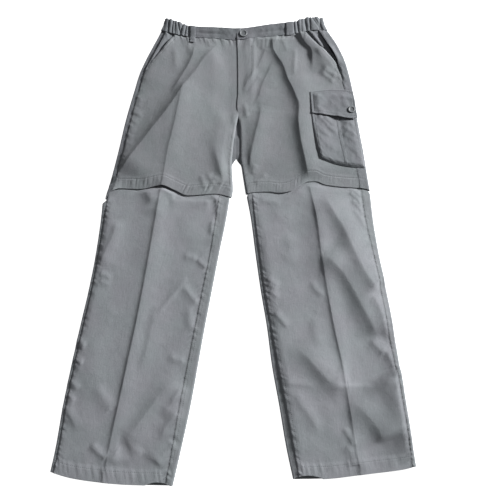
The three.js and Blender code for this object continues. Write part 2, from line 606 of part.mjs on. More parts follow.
function kneeZip(side) {
  const outward = OUTWARD[side];
  const start = KNEE_LINE[side] + GAP;
  const high = LEG_FLOOR + LEG_SLIM;
  const low = LEG_FLOOR;
  return wall(`knee_zip_${side}`, zipTape, ZIP_COLUMNS, [start, start + ZIP_TAPE], (column, y, inner) => {
    const deep = inner ? CLOTH - 0.1 : 0;
    const edge = along(SHORTS[side], 'y', 'edge', y) - outward * (LEG_INSET + SLIM_ROLL);
    const innerEdge = along(MIDDLE, 'y', FRONT_EDGE[side], y) + outward * (LEG_INSET + SLIM_ROLL);
    const swing = Math.sin(column.t * Math.PI) * (SLIM_ROLL - deep);
    const rise = Math.cos(column.t * Math.PI) * ((high - low) / 2 - deep);
    if (column.part === 'top') return [mix(edge, innerEdge, column.t), y, high - deep];
    if (column.part === 'under') return [mix(innerEdge, edge, column.t), y, low + deep];
    if (column.part === 'innerEdge') return [innerEdge - outward * swing, y, (high + low) / 2 + rise];
    return [edge + outward * swing, y, (high + low) / 2 - rise];
  }, true);
}

// Waistband: flat front parts, gathered sides that wrap round the edges, and the back underneath.
const SIDE_JOIN = { right: -107, left: 130 };
const LOOP_CLEAR = 11;
const GATHERS = 10;
const GATHER_RAISE = 1.3;
const BAND_ROWS = range(0, 1, 2);

function bandPoint(x, v, z, under = 0) {
  const seam = waistSeam(x, under) + GAP / 2;
  return [x, mix(seam, along(WAIST_TOP, 'x', 'y', x), v), z];
}

function waistbandFront(side) {
  const outer = SIDE_JOIN[side] - OUTWARD[side] * GAP / 2;
  return wall(`waistband_front_${side}`, twill, range(0, 1, 10), BAND_ROWS, (column, v, inner) => {
    const fly = along(MIDDLE, 'y', 'frontLeft', mix(473, 505, v));
    const end = side === 'right' ? fly + FLY_LAP : fly + GAP / 2;
    const x = mix(end, outer, column);
    const lift = side === 'left' ? (BAND_WALL + GAP) * (1 - smoothstep(fly + 28, fly + 48, x)) : 0;
    return bandPoint(x, v, LOFT + BAND_RAISE + lift - (inner ? BAND_WALL : 0));
  });
}

// Gathered cloth over elastic: ridges of uneven height, which start clear of the belt loop.
function gatherRaise(t) {
  const uneven = 0.75 + 0.25 * Math.sin(t * 17 + 1);
  return GATHER_RAISE * uneven * (0.5 - 0.5 * Math.cos(2 * Math.PI * GATHERS * t));
}

function waistbandSide(side) {
  const outward = OUTWARD[side];
  const join = SIDE_JOIN[side] + outward * GAP / 2;
  const columns = [
    { part: 'join', t: 0 },
    ...range(0, 1, 3 * GATHERS).map((t) => ({ part: 'top', t })),
    ...range(0, 1, 6).slice(1, -1).map((t) => ({ part: 'edge', t })),
    ...range(0, 1, 2).map((t) => ({ part: 'under', t })),
  ];
  return wall(`waistband_side_${side}`, twill, columns, BAND_ROWS, (column, v, inner) => {
    const deep = inner ? BAND_WALL : 0;
    const high = LOFT + BAND_RAISE;
    const y = mix(502, 536, v);
    const rollStart = along(SHORTS[side], 'y', 'edge', y) - outward * EDGE_ROLL;
    const turn = column.t * Math.PI;
    if (column.part === 'join') return bandPoint(join, v, high - deep);
    if (column.part === 'top') {
      const raise = inner ? 0 : gatherRaise(column.t);
      const [x, at, z] = bandPoint(mix(join + outward * LOOP_CLEAR, rollStart, column.t), v, high - deep + raise);
      return [x, at + 0.8 * v * gatherRaise(column.t), z];
    }
    if (column.part === 'edge') {
      const x = rollStart + outward * (EDGE_ROLL - deep) * Math.sin(turn);
      return bandPoint(x, v, high / 2 + (high / 2 - deep) * Math.cos(turn));
    }
    return bandPoint(mix(rollStart, join, column.t), v, deep, 1);
  });
}

const BACK_LOOPS = [
  { name: 'belt_loop_back_right', x: -60 },
  { name: 'belt_loop_back_middle', x: 8 },
  { name: 'belt_loop_back_left', x: 78 },
];
const LOOP_WIDTH = 12;
const LOOP_WALL = 1.2;

function waistbandBack() {
  const ends = [SIDE_JOIN.right + GAP / 2, SIDE_JOIN.left - GAP / 2];
  const half = LOOP_WIDTH / 2;
  const columns = BACK_SEAM_KNOTS.filter((knot) => knot > ends[0] && knot < ends[1]);
  columns.push(...ends);
  for (const loop of BACK_LOOPS) {
    columns.push(loop.x - half - 4, loop.x - half - 1, loop.x + half + 1, loop.x + half + 4);
  }
  columns.sort((a, b) => a - b);
  return wall('waistband_back', twill, columns, BAND_ROWS, (x, v, inner) => {
    const overLoop = BACK_LOOPS.some((loop) => Math.abs(x - loop.x) < half + 2);
    return bandPoint(x, v, (overLoop ? LOOP_WALL + GAP : 0) + (inner ? BAND_WALL : 0), 1);
  });
}

function backLoop(loop) {
  const half = LOOP_WIDTH / 2;
  return wall(loop.name, twill, [loop.x - half, loop.x + half], BAND_ROWS, (x, v, inner) => (
    bandPoint(x, v, inner ? LOOP_WALL : 0, 1)
  ));
}

// Belt loops in front: folded strips from the band's top edge to below its seam, arched clear of it.
const FRONT_LOOPS = [
  { name: 'belt_loop_front_right', x: -107, width: 12, drop: 14 },
  { name: 'belt_loop_front_left', x: 130, width: 16, drop: 10 },
];
const LOOP_ARCH = 1.6;

function frontLoop(loop) {
  const columns = [loop.x - loop.width / 2, loop.x, loop.x + loop.width / 2];
  return wall(loop.name, twill, columns, range(0, 1, 6), (x, v, inner) => {
    const low = along(WAIST_SEAM, 'x', 'y', x) - loop.drop;
    const high = along(WAIST_TOP, 'x', 'y', x) - 0.5;
    const face = LOFT + BAND_RAISE + GAP + LOOP_WALL + LOOP_ARCH * Math.sin(Math.PI * v);
    return [x, mix(low, high, v), face - (inner ? LOOP_WALL : 0)];
  });
}

// Fly zip: closed tape under the right front, behind the overlap.
function flyZip() {
  return wall('fly_zip', zipTape, [-10, 4, 20], range(306, 462, 6), (across, y, inner) => {
    const x = along(MIDDLE, 'y', 'frontLeft', y) + across;
    return [x, y, LOFT - CLOTH - GAP - (inner ? 1 : 0)];
  });
}

// Hip pocket facing: seen inside the slanted mouth, one layer below the front panel.
function pocketFacing(side) {
  const outward = OUTWARD[side];
  const lowest = side === 'right' ? 392 : 366;
  return wall(`hip_pocket_facing_${side}`, twillDark, range(0, 1, 3), range(lowest, WAIST_ROW, 6), (t, row, inner) => {
    let x = 0;
    let y = row;
    for (let pass = 0; pass < 3; pass += 1) {
      const seam = along(SHORTS[side], 'y', 'seam', y) - outward * GAP / 2;
      const hidden = along(POCKET_MOUTH[side], 'y', 'x', y) - outward * 14;
      x = mix(seam, hidden, t);
      y = shortsRow(side, x, row, 0);
    }
    return [x, y, LOFT - CLOTH - GAP - (inner ? CLOTH : 0)];
  });
}

// Cargo pocket on the left thigh: a bellows patch with a pleat, open at the top under its flap.
const CARGO_WALL = 1.5;
const CARGO_DEPTH = 3.0;
const CARGO_TOP = 316;
const CARGO_SIDE = 7;
const PLEAT_RAISE = 0.8;
const CARGO_LEFT = [
  { y: 160, x: 194 }, { y: 201, x: 185 }, { y: 234, x: 181 }, { y: 272, x: 178 }, { y: 340, x: 175 },
];
const CARGO_BOTTOM = [{ x: 190, y: 163 }, { x: 230, y: 150 }, { x: 264, y: 144 }, { x: 296, y: 142 }];
const FLAP_TOP = [{ x: 175, y: 330 }, { x: 194, y: 334 }, { x: 225, y: 338 }, { x: 251, y: 338 }, { x: 280, y: 331 }];
const FLAP_BOTTOM = [
  { x: 178, y: 275 }, { x: 199, y: 272 }, { x: 237, y: 267 }, { x: 267, y: 262 }, { x: 284, y: 264 },
];
const CARGO_SPAN = 110;

function cargoPocket() {
  const nearSide = [0, 2.3, 4.6, CARGO_SIDE].map((mm) => mm / CARGO_SPAN);
  const pleat = [0.55, 0.57, 0.66, 0.68];
  const columns = [...nearSide, 0.2, 0.35, 0.46, ...pleat, 0.78, 0.87, ...nearSide.map((u) => 1 - u).reverse()];
  const nearBottom = [0, 2.3, 4.6, CARGO_SIDE].map((mm) => 1 - mm / 165).reverse();
  const rows = [...range(0, 0.85, 7), ...nearBottom];
  return wall('cargo_pocket', twill, columns, rows, (u, v, inner) => {
    let x = 0;
    let y = mix(CARGO_TOP, 150, v);
    for (let pass = 0; pass < 3; pass += 1) {
      const outer = along(SHORTS.left, 'y', 'edge', y) - 4;
      x = mix(along(CARGO_LEFT, 'y', 'x', y), outer, u);
      y = mix(CARGO_TOP, along(CARGO_BOTTOM, 'x', 'y', x), v);
    }
    const fromBorder = Math.min(u * CARGO_SPAN, (1 - u) * CARGO_SPAN, (1 - v) * 165) / CARGO_SIDE;
    const rise = Math.sin(Math.min(1, fromBorder) * Math.PI / 2);
    const pleated = !inner && u > 0.56 && u < 0.67 ? PLEAT_RAISE * rise * (1 - smoothstep(250, 262, y)) : 0;
    return [x, y, LOFT + GAP + CARGO_DEPTH * rise + (inner ? 0 : CARGO_WALL) + pleated];
  });
}

// Its flap, sewn along the top and lying over the pocket.
function cargoFlap() {
  return wall('cargo_flap', twill, range(0, 1, 8), [0, 0.07, 0.14, 0.2, 0.5, 0.8, 1], (u, v, inner) => {
    let x = mix(176, 280, u);
    let y = 300;
    for (let pass = 0; pass < 3; pass += 1) {
      const outer = along(SHORTS.left, 'y', 'edge', y) - 2;
      x = mix(along(CARGO_LEFT, 'y', 'x', y), outer, u);
      y = mix(along(FLAP_TOP, 'x', 'y', x), along(FLAP_BOTTOM, 'x', 'y', x), v);
    }
    const lift = (CARGO_DEPTH + CARGO_WALL + GAP) * smoothstep(0, 0.2, v);
    return [x, y, LOFT + GAP + lift + (inner ? 0 : CARGO_WALL)];
  });
}

// Four-hole buttons with a raised rim: turned discs, seated on the cloth.
function button(name, radius, x, y, z) {
  const profile = [
    [0, 0], [radius - 1, 0], [radius, 0.8], [radius, 2.2], [radius - 0.9, 3], [radius - 2.3, 2.8],
    [radius - 3.2, 2], [0, 1.7],
  ].map(([r, h]) => new THREE.Vector2(r, h));
  const lathe = new THREE.LatheGeometry(profile, 22);
  lathe.rotateX(Math.PI / 2);
  const mesh = new THREE.Mesh(lathe, horn);
  mesh.name = name;
  mesh.position.set(x, y, z);
  return mesh;
}

const trousers = new THREE.Group();
trousers.name = 'zip_off_trousers';
for (const side of ['right', 'left']) {
  trousers.add(shortsFront(side), shortsBack(side), legFront(side), legBack(side), kneeZip(side));
  trousers.add(waistbandFront(side), waistbandSide(side), pocketFacing(side));
}
trousers.add(waistbandBack(), flyZip(), cargoPocket(), cargoFlap());
BACK_LOOPS.forEach((loop) => trousers.add(backLoop(loop)));
FRONT_LOOPS.forEach((loop) => trousers.add(frontLoop(loop)));
trousers.add(button('waist_button', 9, 17, 493, LOFT + BAND_RAISE + BAND_WALL + 2 * GAP));
trousers.add(button('cargo_button', 8.5, 270, 286, LOFT + CARGO_DEPTH + 2 * CARGO_WALL + 3 * GAP));

// The origin goes to the middle of the outline, on the surface underneath.
const outline = new THREE.Box3().setFromObject(trousers);
trousers.position.set(-(outline.min.x + outline.max.x) / 2, -(outline.min.y + outline.max.y) / 2, -outline.min.z);
trousers.updateMatrixWorld(true);

export default trousers;
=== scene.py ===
import math
import bpy
import numpy as np
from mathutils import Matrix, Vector
from mathutils.bvhtree import BVHTree


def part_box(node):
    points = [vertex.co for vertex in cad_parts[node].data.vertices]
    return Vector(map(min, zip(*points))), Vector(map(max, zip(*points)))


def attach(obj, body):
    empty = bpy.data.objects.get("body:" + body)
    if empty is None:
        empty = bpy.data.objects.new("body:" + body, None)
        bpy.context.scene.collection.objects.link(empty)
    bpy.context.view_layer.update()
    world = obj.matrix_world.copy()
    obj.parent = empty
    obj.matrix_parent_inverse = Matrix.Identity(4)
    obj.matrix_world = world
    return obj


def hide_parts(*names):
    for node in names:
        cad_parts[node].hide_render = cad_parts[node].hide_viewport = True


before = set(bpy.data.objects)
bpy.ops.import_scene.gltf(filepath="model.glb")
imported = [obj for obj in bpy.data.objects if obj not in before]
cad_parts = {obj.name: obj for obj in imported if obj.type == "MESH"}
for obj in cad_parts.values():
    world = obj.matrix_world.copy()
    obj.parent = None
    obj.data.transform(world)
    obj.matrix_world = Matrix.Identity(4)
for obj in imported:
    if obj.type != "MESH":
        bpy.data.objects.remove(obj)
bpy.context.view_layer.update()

# White paper sweep under the trousers, one large soft light high on the right and a pale room.
# The camera stands almost over them, leaning back a little from the hems, and no lens blur.
MM = 0.001
BUTTON_AT = (17, 493)            # the waist button in the drawing that all sizes below are taken from
AIM_AT = (33, -50)
CAMERA_TILT = math.radians(13.6)
CAMERA_DISTANCE = 1186
PHOTO_FOCAL = 536 / 500          # focal length as a share of the picture's width

button_low, button_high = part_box("waist_button")
ORIGIN = np.array([(button_low.x + button_high.x) / 2, (button_low.y + button_high.y) / 2, 0])
ORIGIN[:2] -= np.array(BUTTON_AT) * MM


def place(x, y, z):
    """A point of the drawing, in millimetres, as a point of the row's frame in metres."""
    return Vector(ORIGIN) + Vector((x, y, z)) * MM


def linear(code):
    """An sRGB hex colour as linear RGBA."""
    channels = [int(code[k:k + 2], 16) / 255 for k in (1, 3, 5)]
    return [c / 12.92 if c <= 0.04045 else ((c + 0.055) / 1.055) ** 2.4 for c in channels] + [1]


def add(tree, kind, inputs=None, **settings):
    """One shader node with its settings; each input is a value or another node's output."""
    made = tree.nodes.new(kind)
    for name, value in settings.items():
        setattr(made, name, value)
    for name, value in (inputs or {}).items():
        if isinstance(value, bpy.types.NodeSocket):
            tree.links.new(value, made.inputs[name])
        else:
            made.inputs[name].default_value = value
    return made


def new_material(name):
    """An empty node material and its tree."""
    made = bpy.data.materials.new(name)
    made.use_nodes = True
    made.node_tree.nodes.clear()
    return made, made.node_tree


def bump(tree, strength, distance, height, normal=None):
    """Normal of a bump, over another normal where one is given; its distance is in metres."""
    inputs = {"Strength": strength, "Distance": distance, "Height": height}
    if normal is not None:
        inputs["Normal"] = normal
    return add(tree, "ShaderNodeBump", inputs).outputs["Normal"]


def surface(tree, inputs):
    """The material's one shader, joined to its output."""
    shader = add(tree, "ShaderNodeBsdfPrincipled", inputs)
    add(tree, "ShaderNodeOutputMaterial", {"Surface": shader.outputs["BSDF"]})


camera = bpy.data.objects.new("camera", bpy.data.cameras.new("camera"))
camera.data.sensor_width = 36
camera.data.lens = camera.data.sensor_width * PHOTO_FOCAL
away = Vector((0, -math.sin(CAMERA_TILT), math.cos(CAMERA_TILT)))
camera.location = place(*AIM_AT, 0) + away * CAMERA_DISTANCE * MM
camera.rotation_euler = (CAMERA_TILT, 0, 0)
bpy.context.scene.collection.objects.link(camera)
bpy.context.scene.camera = camera

KEY_FROM = Vector((0.83, 0.38, 0.405)).normalized()
KEY_DISTANCE = 7
key = bpy.data.objects.new("key_light", bpy.data.lights.new("key_light", "AREA"))
key.data.shape = "DISK"
key.data.size = 1.0
key.data.energy = 975
key.location = place(0, 0, 0) + KEY_FROM * KEY_DISTANCE
key.rotation_euler = KEY_FROM.to_track_quat("Z", "Y").to_euler()
bpy.context.scene.collection.objects.link(key)

room = bpy.data.worlds.new("pale_room")
room.use_nodes = True
room.node_tree.nodes["Background"].inputs["Color"].default_value = linear("#f6f7fa")
room.node_tree.nodes["Background"].inputs["Strength"].default_value = 0.18
bpy.context.scene.world = room
bpy.context.scene.view_settings.view_transform = "Standard"

# Matt coated paper: even white, a trace of grain, lit from behind like a light table.
paper, tree = new_material("matt_white_paper")
grain = add(tree, "ShaderNodeTexNoise", {"Scale": 400.0, "Detail": 4.0})
surface(tree, {
    "Base Color": linear("#f6f6f6"), "Roughness": 0.85, "Emission Color": linear("#ffffff"),
    "Emission Strength": 1.0, "Normal": bump(tree, 0.05, 0.0002, grain.outputs["Fac"]),
})
floor_mesh = bpy.data.meshes.new("paper_sweep")
floor_mesh.from_pydata([(-5, -5, 0), (5, -5, 0), (5, 5, 0), (-5, 5, 0)], [], [(0, 1, 2, 3)])
floor_mesh.materials.append(paper)
floor = bpy.data.objects.new("paper_sweep", floor_mesh)
floor.location.z = -0.2 * MM
bpy.context.scene.collection.objects.link(floor)
floor.visible_diffuse = False    # a cut-out's paper throws no light back up at the edges

# Shorts, front panels: cotton twill cut from waist to knee, pressed with a front crease.
# Each is sewn to its back at the side and the inner leg, and turned up and topstitched at the knee.
CLOTH = 1.3                      # one layer of twill with its seam allowances
GAP = 0.3
LOFT = 6.5                       # two panels lying on each other
EDGE_ROLL = 5                    # how far in from an edge the cloth starts to round down
SEAT_LEVEL = CLOTH + GAP
HEM_BAND = 23                    # height of a turned-up hem
HEM_RAISE = 1.2
FLY_LAP = 9                      # how far the right front reaches under the left one
FLY_LIFT = 1.7
TROUGH_LIMIT = 3.3               # deepest trough between folds
WAIST_ROW, FLAP_ROW = 490, 75    # nominal rows of the waist seam and the knee hem
BEND = 100                       # stretch over which the rows bend to them
SETTLE = 4                       # x depends on y and y on x, so each is worked out this often in turn
WAVE_BAND = 0.31416              # wave texture's scale for bands 1 mm apart
OUTWARD = {"right": -1, "left": 1}
SHORTS = {
    "right": {
        "y": (60, 100, 180, 260, 340, 380, 420, 460, 500, 540),
        "edge": (-295, -287, -272, -259, -242, -233, -219, -202, -185, -175),
        "seam": (-283, -275, -259, -246, -230, -221, -205, -187, -171, -162),
        "crease": (-172, -166, -155, -139, -127, -122, -117, -112, -108, -104),
    },
    "left": {
        "y": (60, 100, 180, 260, 340, 380, 420, 460, 500, 540),
        "edge": (308, 303, 295, 285, 277, 270, 260, 244, 223, 211),
        "seam": (285, 280, 271, 264, 257, 250, 240, 221, 201, 190),
        "crease": (174, 168, 157, 151, 135, 119, 103, 90, 80, 74),
    },
}
MIDDLE = {   # where the two sides meet: the middle above the crotch and the inner leg below it
    "y": (60, 90, 129, 148, 158, 168, 200, 240, 275, 300, 330, 420, 510),
    "front_right": (-12, -6, -8, -9, -9, -8, -5, 0, 5, 3, 5, 4, 0),
    "front_left": (27, 22, 16, 13, 11, 10, 10, 9, 5, 3, 5, 4, 0),
    "back_right": (-12, -6, -8, -9, -4, 1, 1, 1, 1, 1, 1, 1, 1),
    "back_left": (27, 22, 16, 13, 6, 1, 1, 1, 1, 1, 1, 1, 1),
}
POCKET_MOUTH = {
    "right": {"y": (60, 383, 407, 436, 455, 500), "x": (-320, -222, -210, -187, -173, -142)},
    "left": {"y": (60, 350, 379, 404, 439, 461, 500), "x": (330, 258, 250, 241, 214, 193, 160)},
}
FLAP_EDGE = {
    "right": {
        "x": (-296, -279, -262, -216, -167, -137, -107, -46, -8),
        "y": (66, 84, 92, 90, 98, 87, 75, 79, 71),
    },
    "left": {
        "x": (22, 44, 74, 101, 124, 146, 165, 181, 203, 237, 287, 308),
        "y": (79, 83, 84, 81, 85, 98, 108, 109, 101, 96, 92, 87),
    },
}
WAIST_SEAM = {
    "x": (-185, -155, -125, -101, -56, -16, 4, 33, 94, 138, 160, 180, 202, 222),
    "y": (502, 492, 485, 481, 479, 475, 474, 478, 486, 491, 496, 500, 502, 501.5),
}
PRESSED = {   # height of the crease's narrow and broad parts
    "right": {
        "y": (-540, -480, -460, -380, -300, -200, -110, -60, 20, 85, 125, 200, 300, 340, 358),
        "narrow": (1.6, 2.2, 2.6, 3.4, 3.6, 3.4, 3.2, 3.0, 2.8, 2.4, 1.8, 2.0, 2.2, 1.2, 0),
        "broad": (0.2, 0.2, 0.2, 0.4, 0.4, 0.6, 1.6, 2.6, 3.2, 2.6, 1.8, 3.0, 2.4, 0.4, 0),
    },
    "left": {
        "y": (-540, -480, -440, -380, -345, -335, -260, -200, -120, -60, 20, 92, 104, 540),
        "narrow": (1.8, 2.2, 2.2, 2.2, 2.6, 2.8, 3.2, 3.2, 2.4, 2.4, 3.0, 1.6, 0, 0),
        "broad": (0.8, 0.8, 1.0, 2.6, 2.6, 0.6, 0.8, 1.0, 2.4, 4.4, 4.0, 1.2, 0, 0),
    },
}
FALL = {   # how far the cloth sinks at the right leg's outer edge and the left leg's inner edge
    "right": {"y": (-540, -300, 60, 200, 290, 430, 520), "deep": (3.6, 3.2, 3.6, 4.0, 4.4, 4.4, 3.2)},
    "left": {"y": (-540, -300, 60, 540), "deep": (4.2, 4.2, 3.0, 0)},
}

# Folds of the fronts: each path is a crest, with a dark flank on its left and a long slope on its right.
# Columns: height, left flank, right slope, sharpness of the crest, share that fades at start and end, path.
SHORTS_FOLDS = {
    "right": [
        (4.4, 8, 110, 1.2, 0.12, 0.12, [(-36, 472), (-60, 441), (-79, 417), (-95, 389), (-126, 342),
            (-154, 292), (-191, 239), (-232, 180), (-263, 133), (-276, 114)]),
        (5.0, 24, 100, 1.5, 0.3, 0.15, [(-104, 376), (-126, 342), (-154, 292), (-191, 239), (-263, 133)]),
        (2.0, 26, 24, 1.8, 0.3, 0.3, [(-108, 370), (-154, 292), (-191, 239), (-218, 200)]),
        (4.6, 8, 40, 1.2, 0.2, 0.3, [(-97, 472), (-100, 455), (-104, 432), (-113, 406), (-126, 380),
            (-140, 352), (-158, 318)]),
        (1.5, 7, 8, 1.6, 0.2, 0.35, [(-127, 486), (-119, 462), (-112, 440), (-110, 424)]),
        (1.3, 4, 6, 1.4, 0.3, 0.3, [(-68, 482), (-66, 466), (-62, 450)]),
        (1.4, 8, 12, 1.6, 0.3, 0.4, [(-152, 460), (-147, 432), (-146, 405), (-149, 378)]),
        (2.6, 17, 24, 1.8, 0.3, 0.15, [(-18, 340), (-30, 270), (-40, 225), (-44, 190), (-40, 150),
            (-30, 106)]),
        (3.0, 8, 16, 1.3, 0.5, 0.08, [(-48, 206), (-45, 182), (-40, 158), (-33, 130), (-26, 102)]),
        (2.6, 24, 44, 2.0, 0.2, 0.25, [(-146, 486), (-164, 455), (-186, 415), (-202, 375), (-212, 335)]),
        (1.6, 5, 8, 1.3, 0.3, 0.15, [(-80, 126), (-74, 106), (-70, 90)]),
        (1.9, 6, 9, 1.3, 0.3, 0.15, [(-68, 130), (-56, 112), (-45, 97)]),
        (1.7, 5, 7, 1.3, 0.3, 0.15, [(-52, 122), (-40, 109), (-28, 99)]),
        (1.8, 6, 10, 1.4, 0.3, 0.1, [(-23, 168), (-20, 130), (-15, 96)]),
        (1.7, 14, 14, 2.0, 0.35, 0.35, [(-26, 420), (-18, 350), (-18, 290)]),
        (3.4, 6, 9, 1.4, 0.2, 0.25, [(-2, 302), (-6, 250), (-9, 200), (-10, 160)]),
        (1.3, 3.2, 10, 1.1, 0.1, 0.35, [(-243, 330), (-232, 316), (-217, 304)]),
        (0.8, 2.8, 8, 1.1, 0.1, 0.35, [(-246, 306), (-234, 300), (-220, 297)]),
        (1.3, 3.2, 10, 1.1, 0.1, 0.35, [(-250, 290), (-236, 280), (-219, 265)]),
        (0.8, 2.8, 8, 1.1, 0.1, 0.35, [(-252, 268), (-240, 258), (-226, 247)]),
        (0.8, 2.8, 8, 1.1, 0.1, 0.35, [(-256, 250), (-246, 240), (-236, 222)]),
        (0.8, 2.8, 8, 1.1, 0.1, 0.35, [(-259, 236), (-250, 222), (-240, 206)]),
        (0.7, 2.8, 8, 1.1, 0.1, 0.35, [(-258, 214), (-248, 202), (-234, 196)]),
    ],
    "left": [
        (6.0, 10, 60, 1.2, 0.04, 0.1, [(88, 486), (89, 452), (95, 435), (113, 402), (123, 368),
            (133, 345), (147, 305), (148, 286), (146, 258), (150, 212), (157, 172), (163, 138),
            (168, 108)]),
        (2.4, 22, 60, 1.6, 0.3, 0.3, [(92, 442), (113, 402), (133, 345), (147, 305), (147, 262)]),
        (5.0, 30, 44, 1.4, 0.35, 0.14, [(140, 322), (148, 286), (146, 258), (150, 212), (157, 172),
            (163, 138), (168, 108)]),
        (2.2, 5, 30, 1.2, 0.25, 0.2, [(92, 420), (82, 396), (70, 370), (62, 350), (54, 322), (40, 290)]),
        (1.5, 4, 14, 1.2, 0.2, 0.3, [(74, 458), (64, 430), (54, 402), (46, 384)]),
        (1.2, 3.5, 10, 1.2, 0.2, 0.3, [(44, 474), (42, 440), (42, 400), (38, 376), (28, 352)]),
        (0.9, 3, 8, 1.2, 0.2, 0.3, [(22, 470), (17, 446), (14, 420)]),
        (0.9, 3, 8, 1.2, 0.3, 0.3, [(16, 346), (13, 330), (11, 316)]),
        (0.9, 3.5, 8, 1.2, 0.3, 0.3, [(112, 474), (116, 456), (124, 436)]),
        (1.8, 5, 12, 1.4, 0.3, 0.3, [(50, 400), (36, 374), (20, 348), (8, 322)]),
        (1.4, 5, 12, 1.3, 0.3, 0.3, [(62, 392), (50, 366), (38, 344), (24, 324)]),
        (1.0, 4, 9, 1.3, 0.3, 0.3, [(34, 392), (26, 372), (16, 352), (10, 336)]),
        (1.0, 4, 9, 1.3, 0.1, 0.4, [(52, 488), (54, 466), (52, 446)]),
        (0.9, 3.5, 8, 1.3, 0.1, 0.4, [(34, 486), (33, 466), (31, 450)]),
        (1.4, 4, 5, 1.4, 0.2, 0.3, [(63, 480), (64, 462), (60, 444)]),
        (1.2, 4, 5, 1.4, 0.2, 0.3, [(74, 482), (72, 462), (69, 450)]),
        (2.6, 5, 22, 1.2, 0.12, 0.2, [(60, 302), (55, 262), (45, 222), (36, 175), (29, 120)]),
        (2.2, 18, 60, 1.8, 0.3, 0.3, [(60, 300), (55, 262), (45, 222), (36, 175), (30, 130)]),
        (2.2, 6, 9, 1.3, 0.15, 0.3, [(11, 304), (18, 288), (28, 264)]),
        (1.1, 4, 5, 1.5, 0.2, 0.2, [(142, 448), (139, 410), (137, 370)]),
        (6.2, 6, 52, 1.2, 0.03, 0.45, [(154, 494), (157, 480), (163, 466), (172, 454), (180, 444),
            (182, 428), (182, 404), (184, 378)]),
        (2.6, 40, 30, 1.6, 0.1, 0.25, [(154, 494), (163, 466), (180, 444), (182, 404), (184, 372)]),
        (5.4, 14, 34, 1.4, 0.2, 0.25, [(192, 452), (202, 424), (212, 402), (228, 382)]),
        (2.2, 5, 7, 1.25, 0.25, 0.25, [(203, 395), (216, 387), (229, 379), (238, 366)]),
        (2.4, 6, 8, 1.25, 0.25, 0.25, [(197, 390), (211, 377), (224, 366), (234, 352)]),
        (1.5, 5, 8, 1.4, 0.3, 0.3, [(72, 130), (54, 112), (38, 104)]),
        (1.2, 5, 8, 1.4, 0.3, 0.3, [(46, 152), (36, 124)]),
    ],
}
CALM = {   # where the front is kept flat under what lies on it: from x, to x, from y, to y, border
    "right": [(-12, 60, 290, 530, 46), (-60, 20, 60, 90, 10)],
    "left": [(-30, 12, 284, 530, 16)],
}
RAISED_MOUTH = {"right": 0.8, "left": 3.0}
MOUTH_GAPE = 2.6                 # the right mouth stands open near its top
SEAM_STEP = 1.1
GATHERED_FROM = {"right": -112, "left": 136}
FLAP_GATHERS = {   # stretches of the knee hem that pucker: from x, to x, height of the puckers
    "right": [(-265, -168, 0.55), (-118, -44, 1.1), (-40, -8, 0.5)],
    "left": [(88, 150, 0.5), (196, 262, 0.3), (24, 80, 0.3)],
}


def smooth(low, high, at):
    """Share from 0 at low to 1 at high, with soft ends."""
    t = np.clip((np.asarray(at, float) - low) / (high - low), 0, 1)
    return t * t * (3 - 2 * t)


def mix(a, b, t):
    """Value a share of the way from one to the other."""
    return a + (b - a) * t


def line(table, key, name, at):
    """Value of one column of a table along its key column, by a monotone cubic curve."""
    keys, values = np.array(table[key], float), np.array(table[name], float)
    slope = np.diff(values) / np.diff(keys)
    product = slope[:-1] * slope[1:]
    total = np.where(product > 0, slope[:-1] + slope[1:], 1)
    tangent = np.concatenate([slope[:1], np.where(product > 0, 2 * product / total, 0), slope[-1:]])
    at = np.clip(at, keys[0], keys[-1])
    i = np.clip(np.searchsorted(keys, at, side="right") - 1, 0, len(keys) - 2)
    span = keys[i + 1] - keys[i]
    t = (at - keys[i]) / span
    start = (1 + 2 * t) * (1 - t) ** 2 * values[i] + t * (1 - t) ** 2 * span * tangent[i]
    end = t * t * (3 - 2 * t) * values[i + 1] - t * t * (1 - t) * span * tangent[i + 1]
    return start + end


def stations(length, coarse, fine, near):
    """Shares from 0 to 1 of a length: fine steps near the given (share, reach), coarse ones elsewhere."""
    at = np.linspace(0, 1, 2001)
    step = np.full_like(at, coarse)
    for share, reach in near:
        step = np.minimum(step, mix(fine, coarse, smooth(reach / 2, reach, abs(at - share) * length)))
    count = np.concatenate([[0], np.cumsum(length * np.diff(at) / step[1:])])
    return np.interp(np.linspace(0, count[-1], int(count[-1]) + 1), count, at)


def ripple(at, pitch, seed):
    """Uneven waves along a line, from -1 to 1: a random height at each pitch, joined smoothly."""
    heights = np.random.default_rng(seed).uniform(-1, 1, 512)
    cell = np.floor(at / pitch).astype(int)
    return mix(heights[cell % 512], heights[(cell + 1) % 512], smooth(0, 1, at / pitch - cell))


def mottle(x, y, wide, tall, seed):
    """Uneven cloth, from -1 to 1: random heights on a grid of the given size, joined smoothly."""
    heights = np.random.default_rng(seed).uniform(-1, 1, (128, 128))
    column, row = np.floor(x / wide).astype(int), np.floor(y / tall).astype(int)
    s, t = smooth(0, 1, x / wide - column), smooth(0, 1, y / tall - row)
    below = mix(heights[row % 128, column % 128], heights[row % 128, (column + 1) % 128], s)
    above = mix(heights[(row + 1) % 128, column % 128], heights[(row + 1) % 128, (column + 1) % 128], s)
    return mix(below, above, t)


def soft_path(path, steps=5):
    """A path through the given points, rounded between them."""
    points = np.array(path, float)
    if len(points) == 2:
        return points
    padded = np.vstack([2 * points[0] - points[1], points, 2 * points[-1] - points[-2]])
    made = []
    for a, b, c, d in zip(padded[:-3], padded[1:-2], padded[2:-1], padded[3:]):
        for t in np.arange(steps) / steps:
            made.append(0.5 * (2 * b + (c - a) * t + (2 * a - 5 * b + 4 * c - d) * t ** 2
                               + (3 * b - a - 3 * c + d) * t ** 3))
    return np.array([*made, points[-1]])


